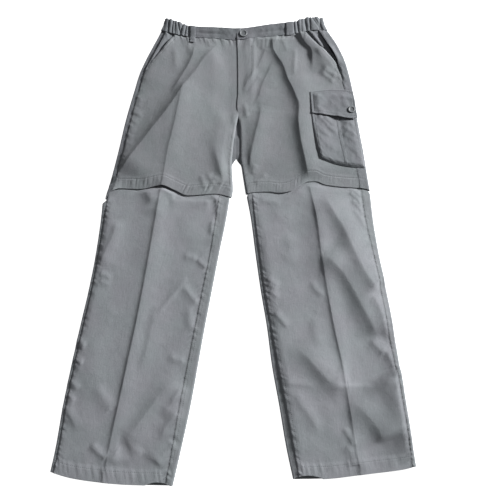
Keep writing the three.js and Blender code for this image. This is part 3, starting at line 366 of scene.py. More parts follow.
def from_path(path, x, y):
    """For each point: signed distance from a path (positive on its +X side) and place along it."""
    lengths = np.hypot(*np.diff(path, axis=0).T)
    starts = np.concatenate([[0], np.cumsum(lengths)])
    nearest, signed, reach = (np.full(x.shape, fill) for fill in (1e9, 0.0, 0.0))
    upward = 1 if path[-1][1] >= path[0][1] else -1
    for (ax, ay), (bx, by), start, length in zip(path[:-1], path[1:], starts, lengths):
        dx, dy = (bx - ax) / length, (by - ay) / length
        along = np.clip((x - ax) * dx + (y - ay) * dy, 0, length)
        gone = np.hypot(x - ax - along * dx, y - ay - along * dy)
        hand = np.where((x - ax) * dy - (y - ay) * dx >= 0, upward, -upward)
        closer = gone < nearest
        nearest = np.where(closer, gone, nearest)
        signed = np.where(closer, gone * hand, signed)
        reach = np.where(closer, start + along, reach)
    return signed, reach / starts[-1]


def crest(height, left, right, sharp, signed):
    """Height beside a fold's line: a rounded crest, steep on its left and long on its right."""
    beside = np.hypot(signed, 0.6) - 0.6
    return height * np.where(signed < 0, np.exp(-(beside / left) ** sharp), np.exp(-(beside / right) ** 2))


def folds_at(folds, x, y, crease=None):
    """Sum of the folds at each point, with troughs held clear of the layer beneath.

    A fold beside a pressed crease, given as the table and its columns, ends at the crease.
    """
    total = np.zeros(x.shape)
    for height, left, right, sharp, fade_in, fade_out, path in folds:
        signed, share = from_path(soft_path(path), x, y)
        ends = smooth(0, fade_in, share) * (1 - smooth(1 - fade_out, 1, share))
        if crease is not None:
            across, up = path[len(path) // 2]
            hand = across - line(crease, "y", "crease", up)
            if abs(hand) > 8:
                ends = ends * smooth(-26, 3, (x - line(crease, "y", "crease", y)) * np.sign(hand))
        total += ends * crest(height, left, right, sharp, signed)
    return np.where(total < 0, TROUGH_LIMIT * np.tanh(total / TROUGH_LIMIT), total)


def pressed_crease(side, x, y, crease):
    """The pressed crease: a narrow sharp crest on a broad low one."""
    narrow = crest(line(PRESSED[side], "y", "narrow", y), 5, 26, 1.1, x - crease)
    return narrow + crest(line(PRESSED[side], "y", "broad", y), 30, 46, 1.6, x - crease)


def edge_fall(side, from_edge, y):
    """How far the cloth sinks beside an edge that faces away from the leg's other half."""
    reach = mix(14, 19, smooth(60, 130, y))
    return line(FALL[side], "y", "deep", y) * np.exp(-(from_edge / reach) ** 1.8)


def calmness(side, x, y):
    """Share of the folds that is left: none where the front is kept flat."""
    calm = np.ones(x.shape)
    for x0, x1, y0, y1, border in CALM[side]:
        in_x = smooth(x0 - border, x0, x) * (1 - smooth(x1, x1 + border, x))
        in_y = smooth(y0 - border, y0, y) * (1 - smooth(y1, y1 + border, y))
        calm *= 1 - in_x * in_y
    return calm


def flap_edge(side, x, under=0):
    """Lower edge of the shorts: curved on top, straight underneath."""
    table = FLAP_EDGE[side]
    share = (x - table["x"][0]) / (table["x"][-1] - table["x"][0])
    return mix(line(table, "x", "y", x), mix(table["y"][0], table["y"][-1], share), under)


def shorts_row(side, x, row, under=0):
    """Nominal rows bend to follow the waist seam above and the knee hem below."""
    waist = (line(WAIST_SEAM, "x", "y", x) - GAP / 2 - WAIST_ROW) * smooth(WAIST_ROW - BEND, WAIST_ROW, row)
    flap = (flap_edge(side, x, under) - FLAP_ROW) * (1 - smooth(FLAP_ROW, FLAP_ROW + BEND, row))
    return row + waist + flap


def crotch_roll(y):
    """1 along the inner leg, where a front rolls down to the back, and 0 above the crotch."""
    return 1 - smooth(235, 275, y)


def front_border(side, y):
    """Outer border of a front: the side seam, and the slanted pocket mouth above it."""
    seam = line(SHORTS[side], "y", "seam", y)
    mouth = line(POCKET_MOUTH[side], "y", "x", y)
    return np.maximum(seam, mouth) if side == "right" else np.minimum(seam, mouth)


def front_inner(side, y):
    """Inner border of a front: the right one reaches under the left one at the fly."""
    edge = line(MIDDLE, "y", "front_" + side, y)
    return edge + GAP / 2 if side == "left" else edge - GAP / 2 + FLY_LAP * smooth(292, 330, y)


def seam_step(beside):
    """A topstitched seam: the cloth steps up on its +X side and eases back."""
    return SEAM_STEP * smooth(-1.5, 1.5, beside) * np.exp(-(beside / 14) ** 2)


def waist_groove(side, x, y):
    """How far the cloth sinks into the waistband's seam, most below the elastic; it puckers there too."""
    below = line(WAIST_SEAM, "x", "y", x) - y
    gathered = smooth(-4, 6, (x - GATHERED_FROM[side]) * OUTWARD[side])
    sunk = (0.5 + 2.1 * gathered) * np.exp(-(below / 3.2) ** 2)
    spread = np.exp(-(below / (17 + 9 * ripple(x, 11, 20))) ** 2)
    return sunk - (1.1 + 0.6 * gathered) * spread * ripple(x + 0.25 * OUTWARD[side] * below, 5.2, 19)


def seam_stand(side, y, from_seam):
    """The left back's strip rises outwards beside the open pocket; the right one sinks at its seam."""
    here = smooth(372, 412, y) * (1 - smooth(484, 498, y))
    if side == "left":
        return here * (0.17 * from_seam + 0.8 * np.exp(-(from_seam / 5) ** 2))
    return -1.4 * here * np.exp(-(from_seam / 9) ** 2)


def shorts_top(side, x, y):
    """Height of a shorts front: folds, crease, puckered seams, knee hem and the lap at the fly."""
    to_edge = abs(x - line(SHORTS[side], "y", "edge", y))
    from_edge = mix(0.5, 1, smooth(EDGE_ROLL, EDGE_ROLL + 14, to_edge))
    inside = abs(x - line(MIDDLE, "y", "front_" + side, y))
    from_middle = mix(1, smooth(EDGE_ROLL, EDGE_ROLL + 20, inside), crotch_roll(y))
    calm = calmness(side, x, y)
    pressed = pressed_crease(side, x, y, line(SHORTS[side], "y", "crease", y))
    uneven = 0.5 * mottle(x + 0.3 * y, y, 38, 60, 3) + 0.14 * mottle(x - 0.4 * y, y + 0.4 * x, 13, 17, 4)
    height = LOFT + (folds_at(SHORTS_FOLDS[side], x, y) + uneven) * from_edge * from_middle * calm
    height += pressed * mix(0.4, 1, calm) * from_edge
    if side == "right":
        height -= edge_fall(side, to_edge, y)
    # puckers beside the side seam, where no pocket covers it, and beside the inner leg
    from_seam = abs(x - line(SHORTS[side], "y", "seam", y))
    bare = 1 - smooth(134, 144, y) * (1 - smooth(334, 344, y)) if side == "left" else 1
    height += bare * seam_step(x - line(SHORTS[side], "y", "seam", y))
    height += bare * 0.5 * ripple(y + 0.5 * from_seam, 4.6, 11) * np.exp(-(from_seam / 8) ** 2)
    from_inner = abs(x - line(MIDDLE, "y", "front_" + side, y))
    height += 0.5 * ripple(y - 0.6 * from_inner, 5, 12) * np.exp(-(from_inner / 9) ** 2) * crotch_roll(y)
    # rolled or flat pocket mouth, with its two rows of stitches
    from_mouth = abs(x - line(POCKET_MOUTH[side], "y", "x", y))
    mouth = smooth(352, 380, y) if side == "left" else smooth(378, 395, y)
    roll = RAISED_MOUTH[side] * (1 - smooth(10, 34, from_mouth)) * smooth(-1, 4, from_mouth)
    height += mouth * (roll + 0.4 * ripple(y + x, 5, 14) * np.exp(-(from_mouth / 12) ** 2))
    if side == "right":
        gape = MOUTH_GAPE * smooth(436, 462, y) * (1 - smooth(478, 490, y))
        height += gape * np.exp(-(from_mouth / 9) ** 2)
    height -= waist_groove(side, x, y)
    # turned-up hem at the knee
    above = y - flap_edge(side, x)
    band = 1 - smooth(HEM_BAND - 3, HEM_BAND + 9, above)
    stitched = 0.6 * np.exp(-((above - HEM_BAND) / 1.5) ** 2)
    height += HEM_RAISE * band - stitched
    for x0, x1, raised in FLAP_GATHERS[side]:
        here = smooth(x0 - 12, x0 + 6, x) * (1 - smooth(x1 - 6, x1 + 12, x))
        spread = np.exp(-((above - HEM_BAND + 9) / 10) ** 2)
        slant = 0.45 if -200 < x0 < 0 else 0.1
        height += raised * here * spread * ripple(x - slant * above, 3.2, 15)
    # the hem curls up at the right leg's outer corner and over the left leg's crease
    if side == "right":
        height += 4.6 * np.exp(-(above / 14) ** 2) * (1 - smooth(-284, -254, x))
    else:
        height += 1.8 * np.exp(-(above / 12) ** 2) * smooth(84, 120, x) * (1 - smooth(150, 176, x))
    # the left front lies over the right one at the fly
    if side == "left":
        fly = line(MIDDLE, "y", "front_left", y)
        height += FLY_LIFT * (1 - smooth(fly + 28, fly + 48, x)) * smooth(276, 292, y)
    return height


def border_distance(grid, ring):
    """Distance of each grid point from the nearest border of its piece, along the cloth."""
    down = np.linalg.norm(np.diff(grid, axis=0), axis=2)
    from_top = np.vstack([np.zeros(grid.shape[1]), np.cumsum(down, axis=0)])
    nearest = np.minimum(from_top, from_top[-1] - from_top)
    if ring:
        return nearest
    over = np.linalg.norm(np.diff(grid, axis=1), axis=2)
    from_left = np.hstack([np.zeros((grid.shape[0], 1)), np.cumsum(over, axis=1)])
    return np.minimum(nearest, np.minimum(from_left, from_left[:, -1:] - from_left))


def mesh_object(name, points, faces, material, marks=None):
    """An object from points in millimetres and faces of equal size, with its marks as point attributes."""
    mesh = bpy.data.meshes.new(name)
    corners = faces.shape[1]
    mesh.vertices.add(len(points))
    mesh.vertices.foreach_set("co", (points * MM + ORIGIN).astype(np.float32).ravel())
    mesh.loops.add(faces.size)
    mesh.loops.foreach_set("vertex_index", faces.astype(np.int32).ravel())
    mesh.polygons.add(len(faces))
    mesh.polygons.foreach_set("loop_start", np.arange(0, faces.size, corners, dtype=np.int32))
    mesh.update(calc_edges=True)
    mesh.shade_smooth()
    for mark, values in (marks or {}).items():
        layer = mesh.attributes.new(mark, "FLOAT", "POINT")
        layer.data.foreach_set("value", values.astype(np.float32).ravel())
    mesh.materials.append(material)
    made = bpy.data.objects.new(name, mesh)
    bpy.context.scene.collection.objects.link(made)
    return made


def wall_faces(parts, rows, wall, points_at):
    """Grids of a wall's outer and inner face: its parts side by side, each a name and its stations."""
    faces = []
    for deep in (0, wall):
        blocks = [points_at(part, *np.meshgrid(shares, rows), deep) for part, shares in parts]
        faces.append(np.concatenate(blocks, axis=1))
    return faces


def cloth_wall(name, outer, inner, material, ring=False):
    """A closed cloth between two grids of points, its borders folded round in half circles."""
    tall, wide = outer.shape[:2]
    count = tall * wide
    index = np.arange(count).reshape(tall, wide)
    looped = np.column_stack([index, index[:, 0]]) if ring else index
    face = np.stack([looped[:-1, :-1], looped[:-1, 1:], looped[1:, 1:], looped[1:, :-1]], -1).reshape(-1, 4)
    top, low = outer.reshape(-1, 3), inner.reshape(-1, 3)
    points, quads = [top, low], [face, face[:, ::-1] + count]
    if ring:
        borders = [(index[0], index[1]), (index[-1][::-1], index[-2][::-1])]
    else:
        nearby = np.clip(np.arange(wide), 1, wide - 2)
        beside = np.clip(np.arange(tall), 1, tall - 2)
        border = np.concatenate([index[0, :-1], index[:-1, -1], index[-1, :0:-1], index[:0:-1, 0]])
        inward = np.concatenate([index[1, nearby[:-1]], index[beside[:-1], -2],
                                 index[-2, nearby[:0:-1]], index[beside[:0:-1], 1]])
        borders = [(border, inward)]
    first = 2 * count
    for border, inward in borders:
        middle, half = (top[border] + low[border]) / 2, (top[border] - low[border]) / 2
        size = np.linalg.norm(half, axis=1, keepdims=True)
        up = half / np.maximum(size, 1e-9)
        outward = top[border] - top[inward]
        outward -= np.sum(outward * up, axis=1, keepdims=True) * up
        outward /= np.maximum(np.linalg.norm(outward, axis=1, keepdims=True), 1e-9)
        rings = [border]
        for turn in (math.pi / 4, math.pi / 2, 3 * math.pi / 4):
            points.append(middle + half * math.cos(turn) + outward * size * math.sin(turn))
            rings.append(np.arange(first, first + len(border)))
            first += len(border)
        rings.append(border + count)
        for upper, lower in zip(rings[:-1], rings[1:]):
            quads.append(np.stack([np.roll(upper, -1), upper, lower, np.roll(lower, -1)], -1))
    points, quads = np.vstack(points), np.vstack(quads)
    a, b, c = (points[quads[:, k]] for k in (0, 1, 2))
    if np.sum(a * np.cross(b, c)) + np.sum(a * np.cross(c, points[quads[:, 3]])) < 0:
        quads = quads[:, ::-1]
    distance = border_distance(outer, ring).ravel()
    edge = np.concatenate([distance, distance, np.zeros(len(points) - 2 * count)])
    return mesh_object(name, points, quads, material, {"from_border": edge})


def in_millimetres(tree):
    """Coordinates in millimetres, so that a pattern's scale is its real one."""
    where = add(tree, "ShaderNodeTexCoord").outputs["Object"]
    return add(tree, "ShaderNodeMapping", {"Vector": where, "Scale": (1000, 1000, 1000)}).outputs["Vector"]


def blend(tree, share, low, high):
    """A colour between two others, each a value or another node's output."""
    return add(tree, "ShaderNodeMix", {0: share, 6: low, 7: high}, data_type="RGBA").outputs[2]


def cotton_twill(name, shade, worn, deep):
    """Washed cotton twill: woven in diagonal ribs, matt with a soft bloom, paler where it rubs."""
    made, tree = new_material(name)
    in_mm = in_millimetres(tree)
    # twill ribs 0.6 mm apart on the cloth, drawn 1.5 mm apart so that they show
    turned = add(tree, "ShaderNodeMapping", {"Vector": in_mm, "Rotation": (0, 0, math.radians(28))})
    ribs = add(tree, "ShaderNodeTexWave", {
        "Vector": turned.outputs["Vector"], "Scale": WAVE_BAND / 1.5, "Distortion": 1.2,
        "Detail": 2.0, "Detail Scale": 1.5,
    }, wave_type="BANDS", bands_direction="X")
    # slubs: thicker yarns 1.2 mm wide and some 15 mm long, along the leg
    yarn = add(tree, "ShaderNodeMapping", {"Vector": in_mm, "Scale": (1 / 1.2, 1 / 15, 1)})
    slubs = add(tree, "ShaderNodeTexNoise", {"Vector": yarn.outputs["Vector"], "Scale": 1.0, "Detail": 2.0})
    speck = add(tree, "ShaderNodeMapRange", {
        "Value": slubs.outputs["Fac"], "From Min": 0.3, "From Max": 0.7, "To Min": 0.93, "To Max": 1.06,
    })
    # washed out unevenly, in clouds 38 mm across
    wash = add(tree, "ShaderNodeTexNoise", {"Vector": in_mm, "Scale": 1 / 38, "Detail": 4.0})
    faded = add(tree, "ShaderNodeMapRange", {
        "Value": wash.outputs["Fac"], "From Min": 0.3, "From Max": 0.7,
    })
    dyed = blend(tree, faded.outputs["Result"], linear(deep), linear(shade))
    # rubbed paler within 1.6 mm of its borders
    fuzz = add(tree, "ShaderNodeTexNoise", {"Vector": in_mm, "Scale": 0.9, "Detail": 3.0})
    edge = add(tree, "ShaderNodeAttribute", attribute_name="from_border")
    near = add(tree, "ShaderNodeMapRange", {
        "Value": edge.outputs["Fac"], "From Min": 0.0, "From Max": 1.6, "To Min": 0.8, "To Max": 0.0,
    })
    rubbed = add(tree, "ShaderNodeMath", {
        0: near.outputs["Result"], 1: fuzz.outputs["Fac"],
    }, operation="MULTIPLY")
    worn_cloth = blend(tree, rubbed.outputs["Value"], dyed, linear(worn))
    coloured = add(tree, "ShaderNodeVectorMath", {
        0: worn_cloth, 1: speck.outputs["Result"],
    }, operation="MULTIPLY")
    # the dye drifts between a greenish and a violet grey in patches 60 mm across
    dye = add(tree, "ShaderNodeTexNoise", {"Vector": in_mm, "Scale": 1 / 60, "Detail": 2.0})
    patch = add(tree, "ShaderNodeMapRange", {
        "Value": dye.outputs["Fac"], "From Min": 0.35, "From Max": 0.65,
    })
    drift = blend(tree, patch.outputs["Result"], (0.98, 1.008, 1.0, 1), (1.015, 0.995, 1.012, 1))
    coloured = add(tree, "ShaderNodeVectorMath", {
        0: coloured.outputs["Vector"], 1: drift,
    }, operation="MULTIPLY")
    # relief: the weave, the fuzz on it, and small crumples 9 mm across
    crumple = add(tree, "ShaderNodeTexNoise", {
        "Vector": in_mm, "Scale": 1 / 9, "Detail": 3.0, "Distortion": 0.8,
    })
    woven = add(tree, "ShaderNodeMath", {0: ribs.outputs["Fac"], 1: slubs.outputs["Fac"]}, operation="ADD")
    relief = bump(tree, 0.45, 0.0003, woven.outputs["Value"])
    relief = bump(tree, 0.35, 0.0012, fuzz.outputs["Fac"], relief)
    relief = bump(tree, 0.5, 0.0009, crumple.outputs["Fac"], relief)
    surface(tree, {
        "Base Color": coloured.outputs["Vector"], "Roughness": 0.8, "IOR": 1.5, "Specular IOR Level": 0.3,
        "Sheen Weight": 0.12, "Sheen Roughness": 0.5, "Normal": relief,
    })
    return made


TWILL = cotton_twill("washed_cotton_twill", "#84878a", "#93969a", "#7d8184")


def shorts_front(side):
    """Grids of the outer and the inner face, from the outer border over the crease to the middle."""
    out = OUTWARD[side]
    rows = mix(WAIST_ROW, FLAP_ROW, stations(WAIST_ROW - FLAP_ROW, 2.1, 1.4, [(0, 24), (1, 52)]))
    parts = [
        ("outer", stations(115, 2.0, 1.2, [(0, 20), (1, 14)])[:-1]),
        ("inner", stations(165, 2.0, 1.2, [(0, 12), (1, 16)])),
        ("roll", np.linspace(0, 1, 6)[1:]),
    ]

    def points_at(part, t, row, deep):
        y = row
        for _ in range(SETTLE):
            start = front_inner(side, y) + out * EDGE_ROLL
            crease = line(SHORTS[side], "y", "crease", y)
            if part == "outer":
                x = mix(front_border(side, y) - out * GAP / 2, crease, t)
            elif part == "inner":
                x = mix(crease, start, t)
            else:
                x = start - out * EDGE_ROLL * t
            y = shorts_row(side, x, row)
        z = shorts_top(side, x, y) - deep
        if part == "roll":
            rolled, turn = crotch_roll(y), t * math.pi / 2
            roll_x = start - out * (EDGE_ROLL - deep) * np.sin(turn)
            roll_z = SEAT_LEVEL + (LOFT - SEAT_LEVEL - deep) * np.cos(turn)
            x = mix(x, roll_x, rolled)
            z = mix(z, roll_z + (z + deep - LOFT) * np.cos(turn), rolled)
        return np.stack([x, y, z], -1)

    return wall_faces(parts, rows, CLOTH, points_at)


for side in ("right", "left"):
    piece = cloth_wall(side + "_shorts_front", *shorts_front(side), TWILL)
    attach(piece, "root")
    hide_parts("shorts_front_" + side)

# Shorts, back panels: the same twill drawn in a darker copy as painted shade, folded round the outer edge
# and lying flat on the paper.
# Only the strip beyond the side seam shows from above.
BACK_LIFT = 0.4
# a darker copy of the twill: painted shade, also used for the pocket facings and the cargo pocket and flap
SHADED_TWILL = cotton_twill("shade_darkened_cotton_twill", "#787b7f", "#86898d", "#727579")


def back_top(side, x, y):
    """Height of the back's strip beyond the side seam: it carries the front's folds on."""
    from_seam = abs(x - line(SHORTS[side], "y", "seam", y))
    high = shorts_top(side, x, y) + seam_stand(side, y, from_seam) + BACK_LIFT * mottle(x, y, 6, 9, 21)
    return np.maximum(high, 2.2 * CLOTH)


def shorts_back(side):
    """Grids of a back's faces: the strip on top, the outer edge, and the panel on the paper."""
    out = OUTWARD[side]
    rows = mix(WAIST_ROW, FLAP_ROW, stations(WAIST_ROW - FLAP_ROW, 3.2, 1.6, [(1, 40)]))
    parts = [
        ("top", np.linspace(0, 1, 8)),
        ("edge", np.linspace(0, 1, 13)[1:-1]),
        ("under", np.linspace(0, 1, 16)),
    ]

    def points_at(part, t, row, deep):
        y = row
        turn = t * math.pi
        under = {"top": 0, "edge": t, "under": 1}[part]
        for _ in range(SETTLE):
            start = line(SHORTS[side], "y", "edge", y) - out * EDGE_ROLL
            if part == "top":
                x = mix(line(SHORTS[side], "y", "seam", y) + out * GAP / 2, start, t)
            elif part == "edge":
                x = start + out * (EDGE_ROLL - deep) * np.sin(turn)
            else:
                x = mix(start, line(MIDDLE, "y", "back_" + side, y) + out * GAP / 2, t)
            y = shorts_row(side, x, row, under)
        high = back_top(side, x if part == "top" else start, y)
        if part == "top":
            z = high - deep
        elif part == "edge":
            z = high / 2 + (high / 2 - deep) * np.cos(turn)
        else:
            # the seat's seam allowances lift it off the paper behind the crotch
            seat = smooth(160, 176, y) * (1 - smooth(212, 228, y))
            z = deep + 3.6 * seat * np.exp(-((x - 2) / 5) ** 2)
        return np.stack([x, y, z], -1)

    return wall_faces(parts, rows, CLOTH, points_at)


for side in ("right", "left"):
    piece = cloth_wall(side + "_shorts_back", *shorts_back(side), SHADED_TWILL)
    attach(piece, "root")
    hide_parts("shorts_back_" + side)

# Hip pocket facings: the twill seen inside the slanted mouths, one layer below the fronts.
# Each is sewn to the pocket bag and into the side seam and the waistband.
FACING_LOWEST = {"right": 392, "left": 366}
FACING_TUCK = 14                 # how far it reaches in under the front


def pocket_facing(side):
    """Grids of a facing's faces, from the side seam to its tuck under the front."""
    out = OUTWARD[side]
    t, row = np.meshgrid(np.linspace(0, 1, 24), np.linspace(FACING_LOWEST[side], WAIST_ROW, 60))
    y = row
    for _ in range(SETTLE):
        seam = line(SHORTS[side], "y", "seam", y) - out * GAP / 2
        hidden = line(POCKET_MOUTH[side], "y", "x", y) - out * FACING_TUCK
        x = mix(seam, hidden, t)
        y = shorts_row(side, x, row)
    if side == "right":
        rise = 2.2 * (1 - smooth(0.1, 0.42, t)) - 1.8 * smooth(0.35, 0.6, t) * smooth(425, 455, y)
    else:
        rise = 3.4 * np.exp(-((t - 0.38) / 0.14) ** 2) * smooth(438, 466, y)
        rise += 1.4 * (1 - smooth(0.06, 0.26, t))
        rise -= 1.7 * smooth(0.42, 0.6, t) + 1.2 * smooth(0.1, 0.4, t) * (1 - smooth(436, 456, y))
    rise = rise + 0.4 * mottle(x, y, 9, 14, 31) * (1 - t) - waist_groove(side, x, y)
    z = np.maximum(LOFT - CLOTH - GAP + rise, 3.2)
    return np.stack([x, y, z], -1), np.stack([x, y, z - CLOTH], -1)


for side in ("right", "left"):
    # drawn in the darker copy of the twill: painted shade inside the mouths
    piece = cloth_wall(side + "_hip_pocket_facing", *pocket_facing(side), SHADED_TWILL)
    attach(piece, "root")
    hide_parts("hip_pocket_facing_" + side)

# Fly zip: closed woven tape and a moulded coil under the left front.
# Its slider is hidden at the top of the fly.
FLY_ZIP_FROM, FLY_ZIP_TO = 306, 462
FLY_TAPE_WALL = 0.8


def zip_tape(name):
    """Woven polyester tape: fine ribs along its length, slightly shiny."""
    made, tree = new_material(name)
    # tape ribs 0.8 mm apart
    ribs = add(tree, "ShaderNodeTexWave", {
        "Vector": in_millimetres(tree), "Scale": WAVE_BAND / 0.8, "Distortion": 0.6,
    })
    surface(tree, {
        "Base Color": blend(tree, ribs.outputs["Fac"], linear("#3f4345"), linear("#565b5e")),
        "Roughness": 0.6, "IOR": 1.55, "Normal": bump(tree, 0.4, 0.0002, ribs.outputs["Fac"]),
    })
    return made


ZIP_TAPE = zip_tape("woven_zip_tape")
across, y = np.meshgrid(np.linspace(-10, 20, 16), np.linspace(FLY_ZIP_FROM, FLY_ZIP_TO, 50))
x = line(MIDDLE, "y", "front_left", y) + across
z = np.full(x.shape, LOFT - CLOTH - 3 * GAP)
fly_zip = cloth_wall("fly_zip_tape", np.stack([x, y, z], -1),
                     np.stack([x, y, z - FLY_TAPE_WALL], -1), ZIP_TAPE)
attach(fly_zip, "root")
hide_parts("fly_zip")

# Cargo pocket on the left thigh: a patch with a bellows edge and a box pleat, sewn on at its sides
# and its bottom, topstitched all round.
CARGO_WALL = 1.5
CARGO_DEPTH = 4.2                # how far its bellows stand off the front
CARGO_TOP, CARGO_FOOT = 316, 150
CARGO_SIDE = 7                   # width of the rounded bellows edge
CARGO_SPAN, CARGO_TALL = 110, 165
CARGO_LEFT = {"y": (160, 201, 234, 272, 340), "x": (194, 185, 181, 178, 175)}
CARGO_BOTTOM = {"x": (190, 230, 264, 296), "y": (163, 150, 144, 142)}
FLAP_TOP = {"x": (175, 194, 225, 251, 280), "y": (330, 334, 338, 338, 331)}
FLAP_BOTTOM = {"x": (178, 199, 237, 267, 284), "y": (275, 272, 267, 262, 264)}
CARGO_FOLDS = [
    (2.8, 5, 14, 1.3, 0.1, 0.2, [(190, 270), (206, 254), (220, 236), (238, 224)]),
    (2.0, 4, 12, 1.3, 0.1, 0.25, [(206, 268), (220, 252), (236, 242)]),
    (1.8, 5, 14, 1.3, 0.2, 0.3, [(186, 246), (200, 228), (222, 212)]),
    (2.4, 5, 14, 1.3, 0.1, 0.25, [(244, 264), (258, 254), (280, 246)]),
    (2.2, 5, 14, 1.3, 0.15, 0.25, [(246, 246), (262, 232), (286, 218)]),
    (1.8, 5, 14, 1.3, 0.15, 0.25, [(246, 226), (264, 212), (286, 196)]),
    (1.4, 6, 16, 1.5, 0.2, 0.3, [(190, 218), (210, 196), (234, 176)]),
    (1.4, 6, 16, 1.5, 0.2, 0.3, [(250, 204), (268, 186), (288, 172)]),
]


def cargo_pocket():
    """Grids of the pocket's faces, u across from its inner side and v down from its mouth."""
    u, v = np.meshgrid(stations(CARGO_SPAN, 2.2, 1.0, [(0, 12), (0.55, 8), (0.61, 8), (1, 12)]),
                       stations(CARGO_TALL, 2.2, 1.1, [(1, 14)]))
    y = mix(CARGO_TOP, CARGO_FOOT, v)
    for _ in range(SETTLE):
        outer = line(SHORTS["left"], "y", "edge", y) - 4
        x = mix(line(CARGO_LEFT, "y", "x", y), outer, u)
        y = mix(CARGO_TOP, line(CARGO_BOTTOM, "x", "y", x), v)
    border = np.minimum(np.minimum(u * CARGO_SPAN, (1 - u) * CARGO_SPAN), (1 - v) * CARGO_TALL)
    rise = np.sin(np.clip(border / CARGO_SIDE, 0, 1) * math.pi / 2)
    pleat = smooth(0.54, 0.56, u) * (1 - smooth(0.6, 0.62, u))
    deep = CARGO_DEPTH * mix(0.1, 1, smooth(0.25, 0.9, v)) * mix(1, 0.9, u)
    puckers = 0.4 * ripple(x + y, 6, 41) * np.exp(-((border - 5) / 7) ** 2)
    folds = folds_at(CARGO_FOLDS, x, y) + 0.4 * mottle(x, y, 16, 26, 42) + 0.3 * mottle(x, y, 7, 9, 43)
    z = shorts_top("left", x, y) + GAP + deep * rise + rise * (folds * smooth(4, 16, border) + puckers)
    z -= 0.5 * np.exp(-((border - 5) / 1.4) ** 2)
    lift = CARGO_WALL + 0.5 * rise * pleat
    return np.stack([x, y, z + lift], -1), np.stack([x, y, z], -1)


# drawn in the darker copy of the twill: painted shade
cargo = cloth_wall("cargo_pocket_bag", *cargo_pocket(), SHADED_TWILL)
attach(cargo, "root")
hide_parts("cargo_pocket")

# Cargo pocket's flap: two layers of the same twill, sewn to the front along its top edge.
# It lies over the pocket's mouth, closed with one button near its outer corner.
FLAP_SPAN, FLAP_TALL = 106, 66


def cargo_flap():
    """Grids of the flap's faces, u across from its inner side and v down from its seam."""
    u, v = np.meshgrid(stations(FLAP_SPAN, 2.0, 1.0, [(0, 10), (1, 10)]),
                       stations(FLAP_TALL, 2.0, 1.0, [(0, 16), (1, 12)]))
    y = np.full(u.shape, 300.0)
    for _ in range(SETTLE):
        outer = line(SHORTS["left"], "y", "edge", y) - 2
        x = mix(line(CARGO_LEFT, "y", "x", y), outer, u)
        y = mix(line(FLAP_TOP, "x", "y", x), line(FLAP_BOTTOM, "x", "y", x), v)
    border = np.minimum(np.minimum(u, 1 - u) * FLAP_SPAN, np.minimum(v, 1 - v) * FLAP_TALL)
    lift = (0.5 * CARGO_DEPTH + CARGO_WALL + 2 * GAP) * smooth(0, 0.3, v)
    lift *= mix(0.1, 1, smooth(0, 20, u * FLAP_SPAN))
    curl = 0.9 * smooth(0.75, 1, v) * ripple(x, 24, 51)
    curl += 0.8 * mottle(x + y, y - x, 15, 22, 52) * smooth(0, 0.3, v)
    curl += 0.35 * mottle(x, y, 7, 8, 53) - 0.5 * np.exp(-((border - 5) / 1.4) ** 2)
    z = shorts_top("left", x, y) + GAP + lift + curl + 1.6 * smooth(0.8, 1, v) + 1.6 * u
    return np.stack([x, y, z + CARGO_WALL], -1), np.stack([x, y, z], -1)


# drawn in the darker copy of the twill: painted shade
flap = cloth_wall("cargo_pocket_flap", *cargo_flap(), SHADED_TWILL)
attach(flap, "root")
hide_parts("cargo_flap")

# Waistband: flat interlined fronts, sides gathered over elastic that wrap round the edges,
# and the plain back underneath.
BAND_WALL = 2.0
BAND_RAISE = 0.6
SIDE_JOIN = {"right": -107, "left": 130}
BACK_LOOPS = {"right": -60, "middle": 8, "left": 78}
LOOP_CLEAR = 7                   # the gathers end this far from a front loop's middle
GATHER_RAISE = 3.0
BAND_TILT = 4.0
SLITS = {    # between the gathers: x at the seam, x at the top edge, depth, half width
    "right": [
        (-178, -175, 0.7, 2.0), (-168, -165, 0.9, 2.6), (-158, -155, 0.8, 2.2), (-151, -150, 0.6, 1.8),
        (-137, -144, 0.8, 2.4), (-138, -131, 0.9, 2.6), (-127, -122, 0.7, 2.0), (-118, -117, 0.8, 2.0),
    ],
    "left": [
        (142, 139, 0.8, 2.2), (151, 147, 0.9, 2.4), (159, 158, 0.5, 1.8), (171, 166, 1.0, 3.0),
        (180, 178, 0.7, 2.0), (206, 184, 0.7, 2.0), (210, 190, 0.6, 1.8), (204, 204, 1.0, 3.0),
        (218, 212, 0.5, 2.0),
    ],
}
WAIST_TOP = {
    "x": (-177, -151, -126, -101, -42, 1, 33, 94, 139, 173, 213),
    "y": (534, 525, 514.5, 508, 505.5, 503, 506, 515.5, 521.5, 533, 535),
}


def band_points(x, v, z):
    """Points of the band at x, v up from its seam to its top edge, and height z."""
    seam = line(WAIST_SEAM, "x", "y", x) + GAP / 2
    return np.stack([x, mix(seam, line(WAIST_TOP, "x", "y", x), v), z + 0 * x], -1)


def band_tilt(v):
    """The band's top edge stands a little higher than its seam, on the folded edge of the back."""
    return BAND_TILT * smooth(0, 1, v)


def band_front(side):
    """Grids of a flat front's faces, from the fly to the elastic side; the left one laps over."""
    out = OUTWARD[side]
    t, v = np.meshgrid(stations(110, 1.8, 1.0, [(0, 10), (1, 10)]), np.linspace(0, 1, 22))
    fly = line(MIDDLE, "y", "front_left", mix(473, 505, v))
    end = fly + FLY_LAP if side == "right" else fly + GAP / 2
    x = mix(end, SIDE_JOIN[side] - out * GAP / 2, t)
    lap = 1 - smooth(fly + 28, fly + 48, x) if side == "left" else 0
    dent = -1.0 * np.exp(-((v - 0.42) / 0.13) ** 2) * smooth(0.25, 0.5, t) * (1 - smooth(0.86, 1, t))
    wave = 0.45 * ripple(x + 8 * v, 13, 61) + 0.35 * mottle(x, 30 * v, 7, 9, 62) + dent
    wave = wave * smooth(6, 16, abs(x - SIDE_JOIN[side]))
    z = LOFT + BAND_RAISE + (BAND_WALL + GAP) * lap
    z = z + wave * (1 - 0.7 * lap) + band_tilt(v) * (1 - 0.8 * lap)
    return band_points(x, v, z), band_points(x, v, z - BAND_WALL)


